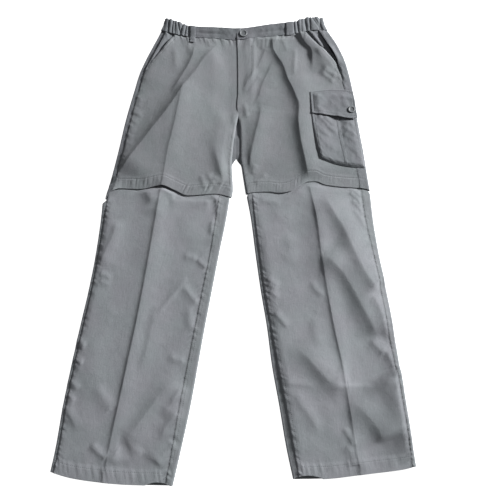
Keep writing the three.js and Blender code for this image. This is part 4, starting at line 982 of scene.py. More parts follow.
def gathers(side, x, v):
    """Cloth gathered over elastic: rounded ridges of uneven width with deep slits between."""
    height = 0.8 + 0.2 * ripple(x + 9 * v, 9, 65)
    for low_x, high_x, deep, wide in SLITS[side]:
        beside = abs(x - mix(low_x, high_x, v)) + 0.4 * ripple(34 * v + x, 8, 64)
        height = height - deep * np.exp(-np.maximum(beside / wide, 0) ** 1.4)
    return GATHER_RAISE * np.maximum(height, -0.1)


def band_side(side):
    """Grids of an elastic side's faces: gathered on top, rolled round the edge and flat underneath."""
    out = OUTWARD[side]
    join = SIDE_JOIN[side] + out * GAP / 2
    rows = np.linspace(0, 1, 18)
    start = line(SHORTS[side], "y", "edge", 515) - out * EDGE_ROLL
    high = LOFT + BAND_RAISE
    grids = []
    for deep in (0, BAND_WALL):
        blocks = []
        t, v = np.meshgrid(np.linspace(0, 1, 110), rows)
        x = mix(join, start, t)
        clear = smooth(LOOP_CLEAR - 4, LOOP_CLEAR + 3, abs(x - join))
        raised = gathers(side, x, v) * clear * (0.75 + 0.25 * np.sin(math.pi * v)) - 0.6 * clear
        points = band_points(x, v, high - deep + raised + band_tilt(v) * (1 - smooth(0.75, 1, t)))
        points[..., 1] += 1.1 * (raised - 1) * smooth(0.7, 1, v)
        blocks.append(points)
        t, v = np.meshgrid(np.linspace(0, 1, 15)[1:-1], rows)
        edge = line(SHORTS[side], "y", "edge", mix(502, 536, v)) - out * EDGE_ROLL
        x = edge + out * (EDGE_ROLL - deep + 0.8 * ripple(16 * v + 3 * t, 4, 66)) * np.sin(t * math.pi)
        blocks.append(band_points(x, v, high / 2 + (high / 2 - deep) * np.cos(t * math.pi)))
        t, v = np.meshgrid(np.linspace(0, 1, 10), rows)
        blocks.append(band_points(mix(start, join, t), v, deep + 0 * t))
        grids.append(np.concatenate(blocks, axis=1))
    return grids


def band_back():
    """Grids of the flat back's faces, lifted where the back loops lie under it."""
    x, v = np.meshgrid(np.linspace(SIDE_JOIN["right"] + GAP, SIDE_JOIN["left"] - GAP, 90),
                       np.linspace(0, 1, 14))
    over = sum(1 - smooth(7, 9, abs(x - loop)) for loop in BACK_LOOPS.values())
    z = 1.5 * over
    return band_points(x, v, z), band_points(x, v, z + BAND_WALL)


# a darker copy of the twill for the waistband and belt loops: painted shade
BAND_TWILL = cotton_twill("shade_darkened_band_twill", "#75787c", "#82858a", "#6f7276")
for side in ("right", "left"):
    piece = cloth_wall(side + "_waistband_front", *band_front(side), BAND_TWILL)
    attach(piece, "root")
    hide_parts("waistband_front_" + side)
    piece = cloth_wall(side + "_waistband_side", *band_side(side), BAND_TWILL)
    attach(piece, "root")
    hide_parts("waistband_side_" + side)
piece = cloth_wall("back_waistband", *band_back(), BAND_TWILL)
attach(piece, "root")
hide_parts("waistband_back")

# Belt loops: strips folded to three layers, bartacked at the band's top edge and below its seam.
# Two stand in front and three lie under the back.
LOOP_WALL = 1.2
LOOP_ARCH = 0.6
FRONT_LOOPS = {"right": (-106, 11, 15), "left": (130, 16, 3)}   # middle, width, reach below the seam
for side, (middle, width, drop) in FRONT_LOOPS.items():
    t, v = np.meshgrid(np.linspace(-1, 1, 13), np.linspace(0, 1, 30))
    x = middle + t * width / 2 + 0.5 * ripple(v * 40, 9, 71)
    low_end = line(WAIST_SEAM, "x", "y", x) - drop
    y = mix(low_end, line(WAIST_TOP, "x", "y", x) - 0.5, v)
    seam = line(WAIST_SEAM, "x", "y", x)
    up = (y - seam) / (line(WAIST_TOP, "x", "y", x) - seam)
    on_band = LOFT + BAND_RAISE + 0.4 + band_tilt(up)
    under = mix(shorts_top(side, x, y) + 0.2, on_band, smooth(-4, 1, y - seam))
    z = under + GAP + LOOP_WALL + LOOP_ARCH * np.sin(math.pi * v) + 0.3 * (1 - t * t) * smooth(0, 0.2, v)
    z = z + 1.2 * (1 - smooth(0, 0.14, v))
    piece = cloth_wall(side + "_front_belt_loop", np.stack([x, y, z], -1),
                       np.stack([x, y, z - LOOP_WALL], -1), BAND_TWILL)
    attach(piece, "root")
    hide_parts("belt_loop_front_" + side)
for name, middle in BACK_LOOPS.items():
    t, v = np.meshgrid(np.linspace(-6, 6, 9), np.linspace(0, 1, 14))
    outer = band_points(middle + t, v, 0)
    piece = cloth_wall(name + "_back_belt_loop", outer, outer + [0, 0, LOOP_WALL], BAND_TWILL)
    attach(piece, "root")
    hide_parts("belt_loop_back_" + name)

# Knee zips: closed woven tapes all round each leg, hidden under the shorts' hems.
# They join the lower legs to the shorts, and each is done up.
KNEE_LINE = {"right": 103, "left": 114}
TAPE_TALL = 18
KNEE_TAPE_WALL = 1.0
LEG_FLOOR, LEG_SLIM = 1.7, 3.2   # inside the shorts: height above the paper, and thickness
LEG_INSET, SLIM_ROLL = 3.4, 3    # and distance from the shorts' edge, and radius of the edge


def knee_zip(side):
    """Grids of a tape's faces, once round the leg."""
    out = OUTWARD[side]
    rows = np.linspace(KNEE_LINE[side] + GAP, KNEE_LINE[side] + GAP + TAPE_TALL, 7)
    high, low = LEG_FLOOR + LEG_SLIM, LEG_FLOOR
    flat, bent = np.linspace(0, 1, 40), np.linspace(0, 1, 9)[1:-1]
    parts = [("top", flat), ("inner", bent), ("under", flat), ("outer", bent)]

    def points_at(part, t, y, deep):
        edge = line(SHORTS[side], "y", "edge", y) - out * (LEG_INSET + SLIM_ROLL)
        inner = line(MIDDLE, "y", "front_" + side, y) + out * (LEG_INSET + SLIM_ROLL)
        swing = np.sin(t * math.pi) * (SLIM_ROLL - deep)
        rise = np.cos(t * math.pi) * ((high - low) / 2 - deep)
        if part == "top":
            x, z = mix(edge, inner, t), high - deep + 0 * t
        elif part == "under":
            x, z = mix(inner, edge, t), low + deep + 0 * t
        elif part == "inner":
            x, z = inner - out * swing, (high + low) / 2 + rise
        else:
            x, z = edge + out * swing, (high + low) / 2 - rise
        return np.stack([x, y, z], -1)

    return wall_faces(parts, rows, KNEE_TAPE_WALL, points_at)


for side in ("right", "left"):
    piece = cloth_wall(side + "_knee_zip_tape", *knee_zip(side), ZIP_TAPE, ring=True)
    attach(piece, "root")
    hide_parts("knee_zip_" + side)

# Lower legs, fronts: the same twill with the crease carried on, hemmed and topstitched at the ankle.
# They go up inside the shorts' hems to the knee zips.
LEG_ROW, HEM_ROW = 81, -520      # nominal rows of the knee zip and the ankle hem
LEG = {
    "right": {
        "y": (-540, -460, -380, -300, -220, -140, -60, 20, 100),
        "edge": (-373, -361, -353, -342, -330, -317, -307, -301, -298),
        "seam": (-365, -353, -345, -334, -322, -309, -299, -292, -286),
        "crease": (-262, -250.5, -237, -223.5, -210, -198, -187, -177, -166),
        "inner_seam": (-136, -124, -112, -98.5, -84.5, -70, -55.5, -44, -34),
        "inner": (-122, -105, -89, -76, -63, -49, -35, -20, -8),
    },
    "left": {
        "y": (-540, -460, -380, -300, -220, -140, -60, 20, 100),
        "edge": (373, 362, 353.5, 346, 338, 328, 316, 308, 304),
        "seam": (364, 353.5, 344.5, 335.5, 324, 314, 302, 289, 283),
        "crease": (257, 247, 237, 226.5, 212, 200, 189.5, 181.5, 168),
        "inner_seam": (135, 121, 107, 92, 78, 65, 54, 44, 36),
        "inner": (123, 106, 93, 79, 69, 56, 45, 35, 20),
    },
}
LEG_HEM = {
    "right": {"x": (-368, -321, -259, -206, -121), "y": (-508, -520, -528, -532, -534)},
    "left": {"x": (121, 180, 265, 335, 368), "y": (-522, -521, -512, -504, -497)},
}
LEG_FOLDS = {
    "right": [
        (1.8, 14, 70, 1.8, 0.1, 0.3, [(-276, 70), (-281, 0), (-292, -100), (-312, -250), (-328, -370)]),
        (4.0, 11, 20, 1.4, 0.1, 0.3, [(-212, 96), (-198, 78), (-184, 52)]),
        (2.0, 30, 16, 1.8, 0.1, 0.3, [(-168, 96), (-176, 60), (-182, 20)]),
        (2.2, 8, 14, 1.4, 0.1, 0.3, [(-166, 94), (-150, 80), (-132, 72)]),
        (1.8, 16, 7, 1.6, 0.15, 0.15, [(-152, 60), (-100, 59), (-50, 56)]),
        (2.2, 5, 8, 1.3, 0.2, 0.3, [(-60, 76), (-46, 70), (-41, 52), (-43, 26)]),
        (1.8, 5, 7, 1.3, 0.3, 0.3, [(-48, 22), (-53, 2), (-54, -20)]),
        (2.8, 9, 20, 1.35, 0.2, 0.25, [(-263, 22), (-268, -15), (-278, -42), (-287, -65), (-297, -95)]),
        (1.4, 5, 8, 1.4, 0.2, 0.4, [(-296, -104), (-280, -110), (-266, -120)]),
        (1.2, 5, 8, 1.4, 0.2, 0.4, [(-296, -120), (-280, -127), (-264, -130)]),
        (1.6, 35, 30, 2.0, 0.3, 0.3, [(-108, 50), (-100, 0), (-95, -44)]),
        (2.0, 5, 9, 1.4, 0.25, 0.2, [(-84, -70), (-76, -80), (-60, -94)]),
        (1.3, 8, 7, 1.6, 0.3, 0.3, [(-116, -66), (-98, -68), (-80, -74)]),
        (1.4, 6, 6, 1.5, 0.2, 0.25, [(-100, -110), (-125, -140), (-145, -165), (-167, -195)]),
        (1.8, 8, 8, 1.4, 0.2, 0.2, [(-114, -130), (-94, -155), (-78, -172)]),
        (1.8, 10, 10, 1.6, 0.3, 0.3, [(-98, -172), (-96, -205), (-90, -235)]),
        (1.6, 8, 8, 1.6, 0.3, 0.3, [(-140, -278), (-118, -290), (-100, -286)]),
        (2.2, 9, 24, 1.6, 0.3, 0.3, [(-164, -158), (-174, -215), (-184, -270), (-198, -325)]),
        (5.0, 15, 44, 1.3, 0.25, 0.2, [(-104, -318), (-130, -339), (-152, -359), (-168, -382),
            (-190, -412), (-212, -440), (-232, -460)]),
        (2.8, 9, 24, 1.3, 0.3, 0.3, [(-104, -334), (-116, -358), (-132, -382), (-152, -406)]),
        (3.6, 10, 28, 1.3, 0.3, 0.25, [(-108, -380), (-123, -403), (-139, -425), (-148, -452)]),
        (2.6, 10, 14, 1.4, 0.15, 0.2, [(-118, -450), (-138, -472), (-160, -495)]),
        (1.8, 20, 14, 1.8, 0.25, 0.25, [(-140, -436), (-156, -468), (-172, -492)]),
        (2.2, 18, 9, 1.6, 0.2, 0.2, [(-252, -473), (-243, -482), (-222, -485), (-200, -477),
            (-185, -458)]),
        (-1.4, 18, 18, 2.0, 0.4, 0.4, [(-238, -464), (-224, -462), (-208, -455)]),
        (2.4, 6, 9, 1.3, 0.2, 0.12, [(-290, -454), (-276, -469), (-256, -484)]),
        (2.2, 6, 14, 1.4, 0.1, 0.4, [(-354, -380), (-338, -396), (-326, -414), (-320, -434)]),
        (1.9, 5, 8, 1.4, 0.15, 0.3, [(-334, -244), (-324, -256), (-312, -262)]),
        (1.9, 5, 8, 1.4, 0.15, 0.3, [(-338, -282), (-326, -292), (-314, -297)]),
        (1.6, 5, 8, 1.4, 0.15, 0.3, [(-343, -326), (-332, -338), (-322, -352)]),
        (1.6, 5, 8, 1.4, 0.15, 0.3, [(-347, -356), (-338, -366), (-328, -376)]),
        (2.2, 14, 14, 1.7, 0.3, 0.1, [(-290, -335), (-272, -363), (-250, -390)]),
        (1.6, 22, 26, 2.0, 0.3, 0.3, [(-294, -235), (-299, -330), (-306, -400), (-310, -465)]),
    ],
    "left": [
        (2.4, 90, 40, 2.5, 0.3, 0.35, [(176, 60), (182, 20), (189, -60), (196, -120)]),
        (2.4, 14, 60, 1.8, 0.15, 0.1, [(62, 50), (80, -100), (102, -250), (128, -400), (146, -500)]),
        (10.5, 22, 52, 1.4, 0.2, 0.08, [(196, 86), (206, 64), (222, 30), (240, 0), (251, -28), (263, -58),
            (277, -90), (294, -121), (314, -144)]),
        (1.8, 28, 34, 1.8, 0.3, 0.3, [(222, 30), (240, 0), (252, -28), (268, -66)]),
        (8.6, 20, 46, 1.4, 0.17, 0.15, [(190, -57), (200, -66), (214, -79), (236, -104), (256, -140),
            (274, -176), (292, -214), (308, -248)]),
        (1.9, 4, 8, 1.3, 0.15, 0.25, [(250, 96), (270, 84), (283, 68)]),
        (1.8, 4, 7, 1.3, 0.15, 0.25, [(256, 82), (273, 66), (284, 46)]),
        (1.5, 4, 7, 1.3, 0.15, 0.25, [(260, 64), (275, 46), (285, 26)]),
        (1.2, 5, 8, 1.4, 0.2, 0.3, [(262, 44), (280, 16), (290, -10)]),
        (1.8, 20, 26, 1.6, 0.2, 0.3, [(150, 104), (124, 66), (98, 36), (84, 6)]),
        (1.4, 8, 10, 1.6, 0.25, 0.3, [(50, 66), (80, 60), (108, 56)]),
        (1.6, 14, 18, 1.8, 0.3, 0.3, [(118, -10), (122, -50), (104, -86)]),
        (1.4, 4, 8, 1.4, 0.2, 0.3, [(68, -114), (82, -124), (98, -134)]),
        (1.2, 4, 7, 1.4, 0.2, 0.3, [(70, -126), (82, -135), (94, -144)]),
        (1.2, 4, 7, 1.4, 0.2, 0.3, [(73, -142), (84, -150), (96, -158)]),
        (1.8, 5, 10, 1.4, 0.2, 0.3, [(83, -186), (98, -204), (116, -226)]),
        (1.4, 6, 8, 1.5, 0.3, 0.3, [(166, -116), (172, -136), (186, -150), (198, -150)]),
        (1.5, 12, 16, 1.8, 0.35, 0.35, [(176, -190), (172, -230), (180, -270)]),
        (7.6, 19, 40, 1.4, 0.42, 0.22, [(120, -250), (150, -279), (172, -303), (188, -321), (202, -333),
            (222, -338), (246, -342)]),
        (1.0, 4, 8, 1.3, 0.2, 0.3, [(100, -335), (134, -339), (170, -342)]),
        (1.0, 6, 8, 1.3, 0.04, 0.3, [(234, -341), (262, -341.5), (290, -342)]),
        (6.8, 20, 34, 1.5, 0.42, 0.15, [(236, -358), (248, -371), (262, -386), (282, -409), (297, -431),
            (308, -454)]),
        (17.0, 46, 90, 1.9, 0.12, 0.42, [(318, -306), (336, -346), (346, -384), (354, -420), (362, -470),
            (368, -510)]),
        (3.6, 12, 20, 1.3, 0.2, 0.2, [(292, -146), (306, -172), (316, -204), (322, -250)]),
        (3.0, 10, 18, 1.3, 0.3, 0.2, [(286, -240), (300, -262), (318, -276)]),
        (4.2, 12, 20, 1.3, 0.2, 0.2, [(314, -262), (328, -290), (340, -326)]),
        (1.8, 10, 14, 1.6, 0.2, 0.3, [(122, -350), (140, -380), (158, -404), (180, -444)]),
        (1.6, 5, 8, 1.4, 0.2, 0.2, [(222, -422), (235, -444), (243, -462)]),
        (1.8, 8, 10, 1.5, 0.2, 0.1, [(226, -455), (238, -476), (242, -498)]),
        (1.4, 20, 24, 2.0, 0.35, 0.35, [(182, -360), (198, -410), (204, -460)]),
    ],
}
HEM_GATHERS = {"right": 0.45, "left": 0.55}
HEM_LIFT = {     # the front's hem stands off the back's near one end: from x, to x, how far
    "right": (-176, -126, 6),
    "left": (118, 178, 7),
}
SHADED_EDGE = {"right": "edge", "left": "inner"}   # the edge that faces away from the light


def leg_height(below):
    """Height of a leg without folds, by how far it is below the knee hem."""
    return mix(LEG_FLOOR + LEG_SLIM, LOFT, smooth(-9, 17, below))


def leg_fall(side, x, y, below):
    """How far a leg sinks beside its shaded edge."""
    from_edge = abs(x - line(LEG[side], "y", SHADED_EDGE[side], y))
    return edge_fall(side, from_edge, y) * smooth(6, 30, below)


def leg_top(side, x, y, below):
    """Height of a lower leg's face: slim inside the shorts, full below the flap."""
    table = LEG[side]
    to_edge = smooth(EDGE_ROLL, EDGE_ROLL + 14, abs(x - line(table, "y", "edge", y)))
    to_inner = smooth(EDGE_ROLL, EDGE_ROLL + 14, abs(x - line(table, "y", "inner", y)))
    from_edges = mix(0.85, 1, to_edge * to_inner)
    free = smooth(-3, 13, below)
    pressed = pressed_crease(side, x, y, line(table, "y", "crease", y))
    uneven = 0.5 * mottle(x - 0.3 * y, y, 36, 62, 5) + 0.14 * mottle(x + 0.4 * y, y - 0.4 * x, 13, 17, 6)
    folded = (folds_at(LEG_FOLDS[side], x, y, table) + uneven) * from_edges + pressed
    height = leg_height(below) + folded * free - leg_fall(side, x, y, below)
    if side == "right":
        height -= 3.2 * np.exp(-(below / 9) ** 2) * (1 - smooth(-286, -256, x)) * free
    for name, seed in (("seam", 16), ("inner_seam", 17)):
        from_seam = abs(x - line(table, "y", name, y))
        height += 0.8 * free * ripple(y + 0.6 * from_seam, 4.8, seed) * np.exp(-(from_seam / 8) ** 2)
        height += free * seam_step(x - line(table, "y", name, y))
    above = y - line(LEG_HEM[side], "x", "y", x)
    band = 1 - smooth(HEM_BAND - 3, HEM_BAND + 9, above)
    stitched = 0.2 * np.exp(-((above - HEM_BAND) / 1.5) ** 2)
    spread = np.exp(-((above - HEM_BAND + 4) / 13) ** 2)
    gathered = HEM_GATHERS[side] * spread * ripple(x + 0.2 * above, 4.6, 18)
    return height + HEM_RAISE * band - stitched + gathered


def leg_row(side, x, row, under=0):
    """Nominal rows bend to follow the knee hem above and the ankle hem below."""
    flap = (flap_edge(side, x, under) - FLAP_ROW) * smooth(FLAP_ROW - BEND, FLAP_ROW, row)
    hem = (line(LEG_HEM[side], "x", "y", x) - HEM_ROW) * (1 - smooth(HEM_ROW, HEM_ROW + BEND, row))
    bent = row + flap + hem
    first, last, lifted = HEM_LIFT[side]
    share = np.clip((x - first) / (last - first), 0, 1)
    lift = lifted * np.sin(math.pi * share) ** 0.8 * (1 - smooth(HEM_ROW, HEM_ROW + 60, row)) * (1 - under)
    return mix(bent + lift, KNEE_LINE[side], smooth(FLAP_ROW, LEG_ROW, row))


def leg_edges(side, y):
    """Outline of a lower leg: its edges step in and grow slimmer where it enters the shorts."""
    out = OUTWARD[side]
    edge, inner = line(LEG[side], "y", "edge", y), line(LEG[side], "y", "inner", y)
    past_edge, past_inner = flap_edge(side, edge) - y, flap_edge(side, inner) - y
    edge = mix(line(SHORTS[side], "y", "edge", y) - out * LEG_INSET, edge, smooth(1, 10, past_edge))
    inner = mix(line(MIDDLE, "y", "front_" + side, y) + out * LEG_INSET, inner, smooth(1, 10, past_inner))
    edge_roll = mix(SLIM_ROLL, EDGE_ROLL, smooth(2, 20, past_edge))
    return edge, inner, edge_roll, mix(SLIM_ROLL, EDGE_ROLL, smooth(2, 20, past_inner))


def leg_seam(side, y):
    """Side seam of a leg, held inside its outline where that steps in."""
    edge, _, roll, _ = leg_edges(side, y)
    limit = edge - OUTWARD[side] * (roll + 1)
    seam = line(LEG[side], "y", "seam", y)
    return np.maximum(seam, limit) if side == "right" else np.minimum(seam, limit)


def leg_front(side):
    """Grids of a front's faces, from the side seam over the crease to the inseam."""
    out = OUTWARD[side]
    rows = mix(LEG_ROW, HEM_ROW, stations(LEG_ROW - HEM_ROW, 2.3, 1.4, [(0, 60), (1, 46)]))
    parts = [
        ("outer", stations(108, 2.0, 1.1, [(0, 16), (1, 14)])[:-1]),
        ("inner", stations(125, 2.0, 1.1, [(0, 12), (1, 16)])),
    ]

    def points_at(part, t, row, deep):
        y = row
        for _ in range(SETTLE):
            crease = line(LEG[side], "y", "crease", y)
            seam = leg_seam(side, y) - out * GAP / 2
            inner = line(LEG[side], "y", "inner_seam", y) + out * GAP / 2
            x = mix(seam, crease, t) if part == "outer" else mix(crease, inner, t)
            y = leg_row(side, x, row)
        below = flap_edge(side, x) - y
        return np.stack([x, y, leg_top(side, x, y, below) - deep], -1)

    return wall_faces(parts, rows, CLOTH, points_at)


LEG_TWILL = cotton_twill("paler_cotton_twill", "#8e9195", "#9b9ea2", "#888b8f")
for side in ("right", "left"):
    piece = cloth_wall(side + "_leg_front", *leg_front(side), LEG_TWILL)
    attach(piece, "root")
    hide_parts("leg_front_" + side)

# Lower legs, backs: folded round both edges, so a strip shows beyond the side seam and the inseam.
# The inseam's wide strip lies on top, double topstitched.


def leg_back(side):
    """Grids of a back's faces: a strip on top, an edge, the panel on the paper, an edge and a strip."""
    out = OUTWARD[side]
    rows = mix(LEG_ROW, HEM_ROW, stations(LEG_ROW - HEM_ROW, 3.0, 1.5, [(0, 40), (1, 40)]))
    parts = [
        ("outer_top", np.linspace(0, 1, 5)), ("outer_edge", np.linspace(0, 1, 12)[1:-1]),
        ("under", np.linspace(0, 1, 12)), ("inner_edge", np.linspace(0, 1, 12)[1:-1]),
        ("inner_top", np.linspace(0, 1, 12)),
    ]

    def points_at(part, t, row, deep):
        y = row
        turn = t * math.pi
        under = {"outer_edge": t, "under": 1, "inner_edge": 1 - t}.get(part, 0)
        for _ in range(SETTLE):
            edge, inner, edge_roll, inner_roll = leg_edges(side, y)
            start, finish = edge - out * edge_roll, inner + out * inner_roll
            if part == "outer_top":
                x = mix(leg_seam(side, y) + out * GAP / 2, start, t)
            elif part == "outer_edge":
                x = start + out * (edge_roll - deep) * np.sin(turn)
            elif part == "under":
                x = mix(start, finish, t)
            elif part == "inner_edge":
                x = finish - out * (inner_roll - deep) * np.sin(turn)
            else:
                x = mix(finish, line(LEG[side], "y", "inner_seam", y) - out * GAP / 2, t)
            y = leg_row(side, x, row, under)
        at = {"outer_edge": start, "inner_edge": finish}.get(part, x)
        below = flap_edge(side, at, under) - y
        low = LEG_FLOOR * (1 - smooth(1, 12, below))
        high = np.maximum(leg_top(side, at, y, below), low + 2.2 * CLOTH)
        if part == "outer_edge":
            z = (high + low) / 2 + ((high - low) / 2 - deep) * np.cos(turn)
        elif part == "inner_edge":
            z = (high + low) / 2 - ((high - low) / 2 - deep) * np.cos(turn)
        else:
            z = low + deep if part == "under" else high - deep
        return np.stack([x, y, z], -1)

    return wall_faces(parts, rows, CLOTH, points_at)


for side in ("right", "left"):
    piece = cloth_wall(side + "_leg_back", *leg_back(side), TWILL)
    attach(piece, "root")
    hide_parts("leg_back_" + side)

# Buttons: four-hole discs turned from grey polyester, with a raised rim and a dished middle.
# One closes the waistband and one the cargo flap, each sewn on with thread.


def polyester_button(name):
    """Moulded polyester resin: smooth with a low gloss, faintly clouded like horn, with painted shade at its
    edge.
    """
    made, tree = new_material(name)
    where = add(tree, "ShaderNodeTexCoord").outputs["Object"]
    cloud = add(tree, "ShaderNodeTexNoise", {
        "Vector": where, "Scale": 320.0, "Detail": 3.0, "Distortion": 1.5,
    })
    clouded = blend(tree, cloud.outputs["Fac"], linear("#7d8184"), linear("#8f9396"))
    # painted shade: dark at the outer edge and underside, part-dark in the dish, none on the raised rim
    turned = add(tree, "ShaderNodeAttribute", attribute_name="turned")
    surface(tree, {
        "Base Color": blend(tree, turned.outputs["Fac"], linear("#34373a"), clouded),
        "Roughness": 0.5, "IOR": 1.5, "Coat Weight": 0.1, "Coat Roughness": 0.3,
    })
    return made


HORN = polyester_button("moulded_polyester")
BUTTONS = {    # radius, shift in x and in y from the solid's place, and the piece below
    "waist_button": (9.5, 0, -4, "left_waistband_front"),
    "cargo_button": (8.5, 0, -2, "cargo_pocket_flap"),
}


depsgraph = bpy.context.evaluated_depsgraph_get()
SURFACES = {}


def height_on(names, x, y):
    """Height of the top of the named pieces above a point, or None beside them."""
    highest = None
    for name in names:
        if name not in SURFACES:
            SURFACES[name] = BVHTree.FromObject(bpy.data.objects[name], depsgraph)
        hit = SURFACES[name].ray_cast(place(x, y, 60), Vector((0, 0, -1)))[0]
        if hit is not None:
            high = (hit.z - ORIGIN[2]) / MM
            highest = high if highest is None else max(highest, high)
    return highest


def button(name, radius, shift_x, shift_y, on):
    """A turned disc: rings of points from the middle of the top over the rim to the middle of the foot."""
    low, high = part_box(name)
    x, y, _ = (np.array((low + high) / 2) - ORIGIN) / MM + np.array([shift_x, shift_y, 0])
    # it sits on the highest cloth under its rim
    around = [height_on([on], x + radius * math.cos(a), y + radius * math.sin(a)) for a in range(7)]
    centre = np.array([x, y, max(level for level in around if level is not None) - 0.7])
    # radius, height, and share of the button's own colour kept against the painted shade
    profile = [
        (0.01, 1.9, 0.6), (0.9, 1.9, 0.6), (1.6, 1.8, 0.6), (2.3, 1.8, 0.6), (3.0, 1.9, 0.6),
        (radius - 3.3, 2.0, 0.4), (radius - 2.7, 2.5, 0.6), (radius - 2.0, 2.9, 1),
        (radius - 1.1, 2.9, 1), (radius - 0.5, 2.5, 0.4), (radius, 1.8, 0), (radius, 0.8, 0),
        (radius - 0.4, 0.2, 0), (radius - 1.2, -0.4, 0), (0.01, -0.4, 0),
    ]
    turns = 48
    angle = np.linspace(0, 2 * math.pi, turns, endpoint=False)
    rings = np.array([[(r * math.cos(a), r * math.sin(a), h) for a in angle] for r, h, _ in profile])
    # four holes, filled with thread
    turned = np.array([[0 if 1.5 < r < 2.5 and abs(math.sin(2 * a)) > 0.8 else share for a in angle]
                       for r, _, share in profile])
    count = len(profile)
    index = np.arange(count * turns).reshape(count, turns)
    after = np.roll(index, -1, axis=1)
    quads = np.stack([index[:-1], index[1:], after[1:], after[:-1]], -1).reshape(-1, 4)
    return mesh_object("turned_" + name, rings.reshape(-1, 3) + centre, quads, HORN, {"turned": turned})


for name, (radius, shift_x, shift_y, below) in BUTTONS.items():
    piece = button(name, radius, shift_x, shift_y, below)
    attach(piece, "root")
    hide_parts(name)

# Topstitching: grey polyester thread in rows of short stitches, pulled a little into the cloth.
# Each group of rows is one joined mesh, laid on the pieces it holds.
STITCH_PITCH = 4.2               # real ones are 3 mm apart, drawn coarser so that they show
STITCH_SHARE = 0.66
STITCH_WIDE, STITCH_HIGH = 0.75, 0.3
MOUTH_ROWS = (3, 9)              # rows beside a pocket's mouth, by their distance from it


def spun_thread(name):
    """Spun polyester thread: matt, with the twist as fine ribs; much darker than the cloth, partly its own
    colour and lint, partly painted shade of the stitch groove.
    """
    made, tree = new_material(name)
    twist = add(tree, "ShaderNodeTexWave", {
        "Vector": in_millimetres(tree), "Scale": WAVE_BAND / 0.5,
    }, bands_direction="DIAGONAL")
    surface(tree, {
        # dark grey: the thread's own colour deepened by painted shade of the sunken stitch line
        "Base Color": blend(tree, twist.outputs["Fac"], linear("#44474a"), linear("#5b5f62")),
        "Roughness": 0.7, "Sheen Weight": 0.1, "Normal": bump(tree, 0.3, 0.0002, twist.outputs["Fac"]),
    })
    return made


THREAD = spun_thread("spun_polyester_thread")


def sew(name, rows, on, pitch=STITCH_PITCH):
    """One mesh of the stitches along the rows, each a flat spindle from needle hole to needle hole."""
    points, quads = [], []
    # the spindle's four rings: place along it, share of its height and of its width
    rings = [(0, 0.25, 0.35), (0.3, 0.6, 1), (0.7, 0.6, 1), (1, 0.25, 0.35)]
    for row in rows:
        row = np.array(row, float)
        lengths = np.concatenate([[0], np.cumsum(np.hypot(*np.diff(row, axis=0).T))])
        for start in np.arange(0.4 * pitch, lengths[-1] - pitch, pitch):
            along = [start + t * STITCH_SHARE * pitch for t, _, _ in rings]
            spots = [(np.interp(at, lengths, row[:, 0]), np.interp(at, lengths, row[:, 1])) for at in along]
            levels = [height_on(on, *spots[0]), height_on(on, *spots[3])]
            if None in levels:
                continue
            aside = np.array([spots[0][1] - spots[3][1], spots[3][0] - spots[0][0]])
            aside = aside / np.hypot(*aside) * STITCH_WIDE
            first = len(points)
            for (x, y), (t, lift, wide) in zip(spots, rings):
                level = mix(levels[0], levels[1], t)
                low, high = level - 0.15, level + STITCH_HIGH * lift
                points += [(x + aside[0] * wide, y + aside[1] * wide, low), (x, y, high),
                           (x - aside[0] * wide, y - aside[1] * wide, low), (x, y, low - 0.2)]
            for ring in (first, first + 4, first + 8):
                for j, after in ((0, 1), (1, 2), (2, 3), (3, 0)):
                    quads.append([ring + j, ring + after, ring + 4 + after, ring + 4 + j])
            quads.append([first, first + 3, first + 2, first + 1])
            quads.append([first + 12, first + 13, first + 14, first + 15])
    made = mesh_object(name, np.array(points), np.array(quads), THREAD)
    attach(made, "root")


def ring_row(left, right, top, bottom, inset, steps=30):
    """A row of stitches inside a pocket's border: down its left, along its bottom and up its right."""
    y = np.linspace(top, line(bottom, "x", "y", left(200)) + inset, steps)
    x = np.linspace(left(y[-1]) + inset, right(150) - inset, steps)
    rise_y = np.linspace(line(bottom, "x", "y", x[-1]) + inset, top, steps)
    return np.concatenate([np.column_stack([left(y) + inset, y]),
                           np.column_stack([x, line(bottom, "x", "y", x) + inset]),
                           np.column_stack([right(rise_y) - inset, rise_y])])


def cargo_side(y):
    """Inner side of the cargo pocket."""
    return line(CARGO_LEFT, "y", "x", y)


def thigh_side(y):
    """Outer side of the cargo pocket, just inside the thigh's edge."""
    return line(SHORTS["left"], "y", "edge", y) - 4


pleat_y = np.linspace(158, 268, 40)
pleat_rows = [np.column_stack([mix(cargo_side(pleat_y), thigh_side(pleat_y), share), pleat_y])
              for share in (0.55, 0.61)]
border_row = ring_row(cargo_side, thigh_side, 272, CARGO_BOTTOM, 5)
sew("cargo_stitches", [border_row, *pleat_rows], ["cargo_pocket_bag"])
flap_x = np.linspace(182, 272, 40)
flap_rows = [np.column_stack([flap_x, line(FLAP_TOP, "x", "y", flap_x) - inset]) for inset in (2, 8)]
border_row = ring_row(cargo_side, thigh_side, 326, FLAP_BOTTOM, 5)
sew("flap_stitches", [border_row, *flap_rows], ["cargo_pocket_flap"])
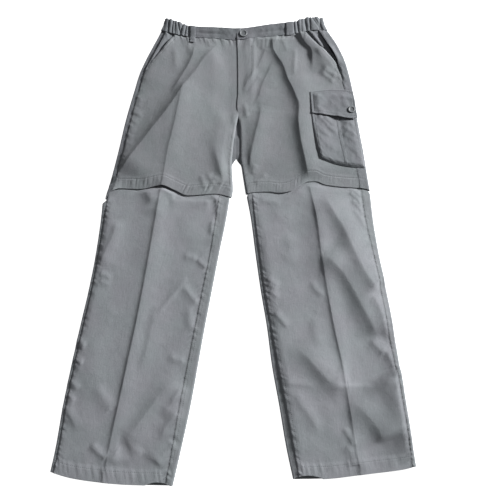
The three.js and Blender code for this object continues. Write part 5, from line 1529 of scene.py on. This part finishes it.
# the fly's row runs straight down and then in to the middle
fly_y = np.concatenate([np.linspace(470, 376, 24), np.linspace(370, 342, 8)])
fly_x = np.concatenate([np.full(24, 37.0), np.linspace(36.5, 15, 8)])
band_x = np.linspace(6, 120, 50)
sew("fly_stitches", [np.column_stack([fly_x, fly_y])], ["left_shorts_front"])
band_rows = []
for row_x in (band_x, band_x - 104):
    band_rows.append(np.column_stack([row_x, line(WAIST_SEAM, "x", "y", row_x) + 2.5]))
    band_rows.append(np.column_stack([row_x, line(WAIST_TOP, "x", "y", row_x) - 2.5]))
sew("waistband_stitches", band_rows, ["left_waistband_front", "right_waistband_front"])
hole_rows = [[(27, 493.4), (39, 494)], [(27, 490.6), (39, 491.2)]]
sew("buttonhole_stitches", hole_rows, ["left_waistband_front"], 1.8)
loop_rows = []
for side, (middle, width, drop) in FRONT_LOOPS.items():
    for level in (line(WAIST_SEAM, "x", "y", middle) - drop + 2, line(WAIST_TOP, "x", "y", middle) - 3):
        loop_rows.append([(middle - width / 2 + 1, level), (middle + width / 2 - 1, level)])
sew("loop_bartacks", loop_rows, ["right_front_belt_loop", "left_front_belt_loop"], 1.8)
for side in ("right", "left"):
    out = OUTWARD[side]
    shorts, legs = [side + "_shorts_front", side + "_shorts_back"], [side + "_leg_front", side + "_leg_back"]
    hem_x = np.linspace(FLAP_EDGE[side]["x"][0] + 8, FLAP_EDGE[side]["x"][-1] - 6, 60)
    mouth_y = np.linspace(386, 488, 30) if side == "right" else np.linspace(362, 490, 30)
    mouths = [np.column_stack([line(POCKET_MOUTH[side], "y", "x", mouth_y) - out * inset, mouth_y])
              for inset in MOUTH_ROWS]
    seam_y = np.linspace(100, 372 if side == "right" else 140, 60)
    seam = np.column_stack([line(SHORTS[side], "y", "seam", seam_y) + out * 2, seam_y])
    rise_y = np.linspace(100, 232, 40)
    rise = np.column_stack([line(MIDDLE, "y", "front_" + side, rise_y) + out * 6.5, rise_y])
    sew(side + "_shorts_stitches", [np.column_stack([hem_x, flap_edge(side, hem_x) + HEM_BAND]),
                                    *mouths, seam, rise], shorts)
    hem_x = np.linspace(LEG_HEM[side]["x"][0] + 6, LEG_HEM[side]["x"][-1] - 6, 60)
    leg_y = np.linspace(66, -498, 160)
    inside = [np.column_stack([line(LEG[side], "y", "inner_seam", leg_y) + beside, leg_y])
              for beside in (1.5, 7.5)]
    outside = np.column_stack([line(LEG[side], "y", "seam", leg_y) + out * 1.6, leg_y])
    sew(side + "_leg_stitches", [np.column_stack([hem_x, line(LEG_HEM[side], "x", "y", hem_x) + HEM_BAND]),
                                 *inside, outside], legs)
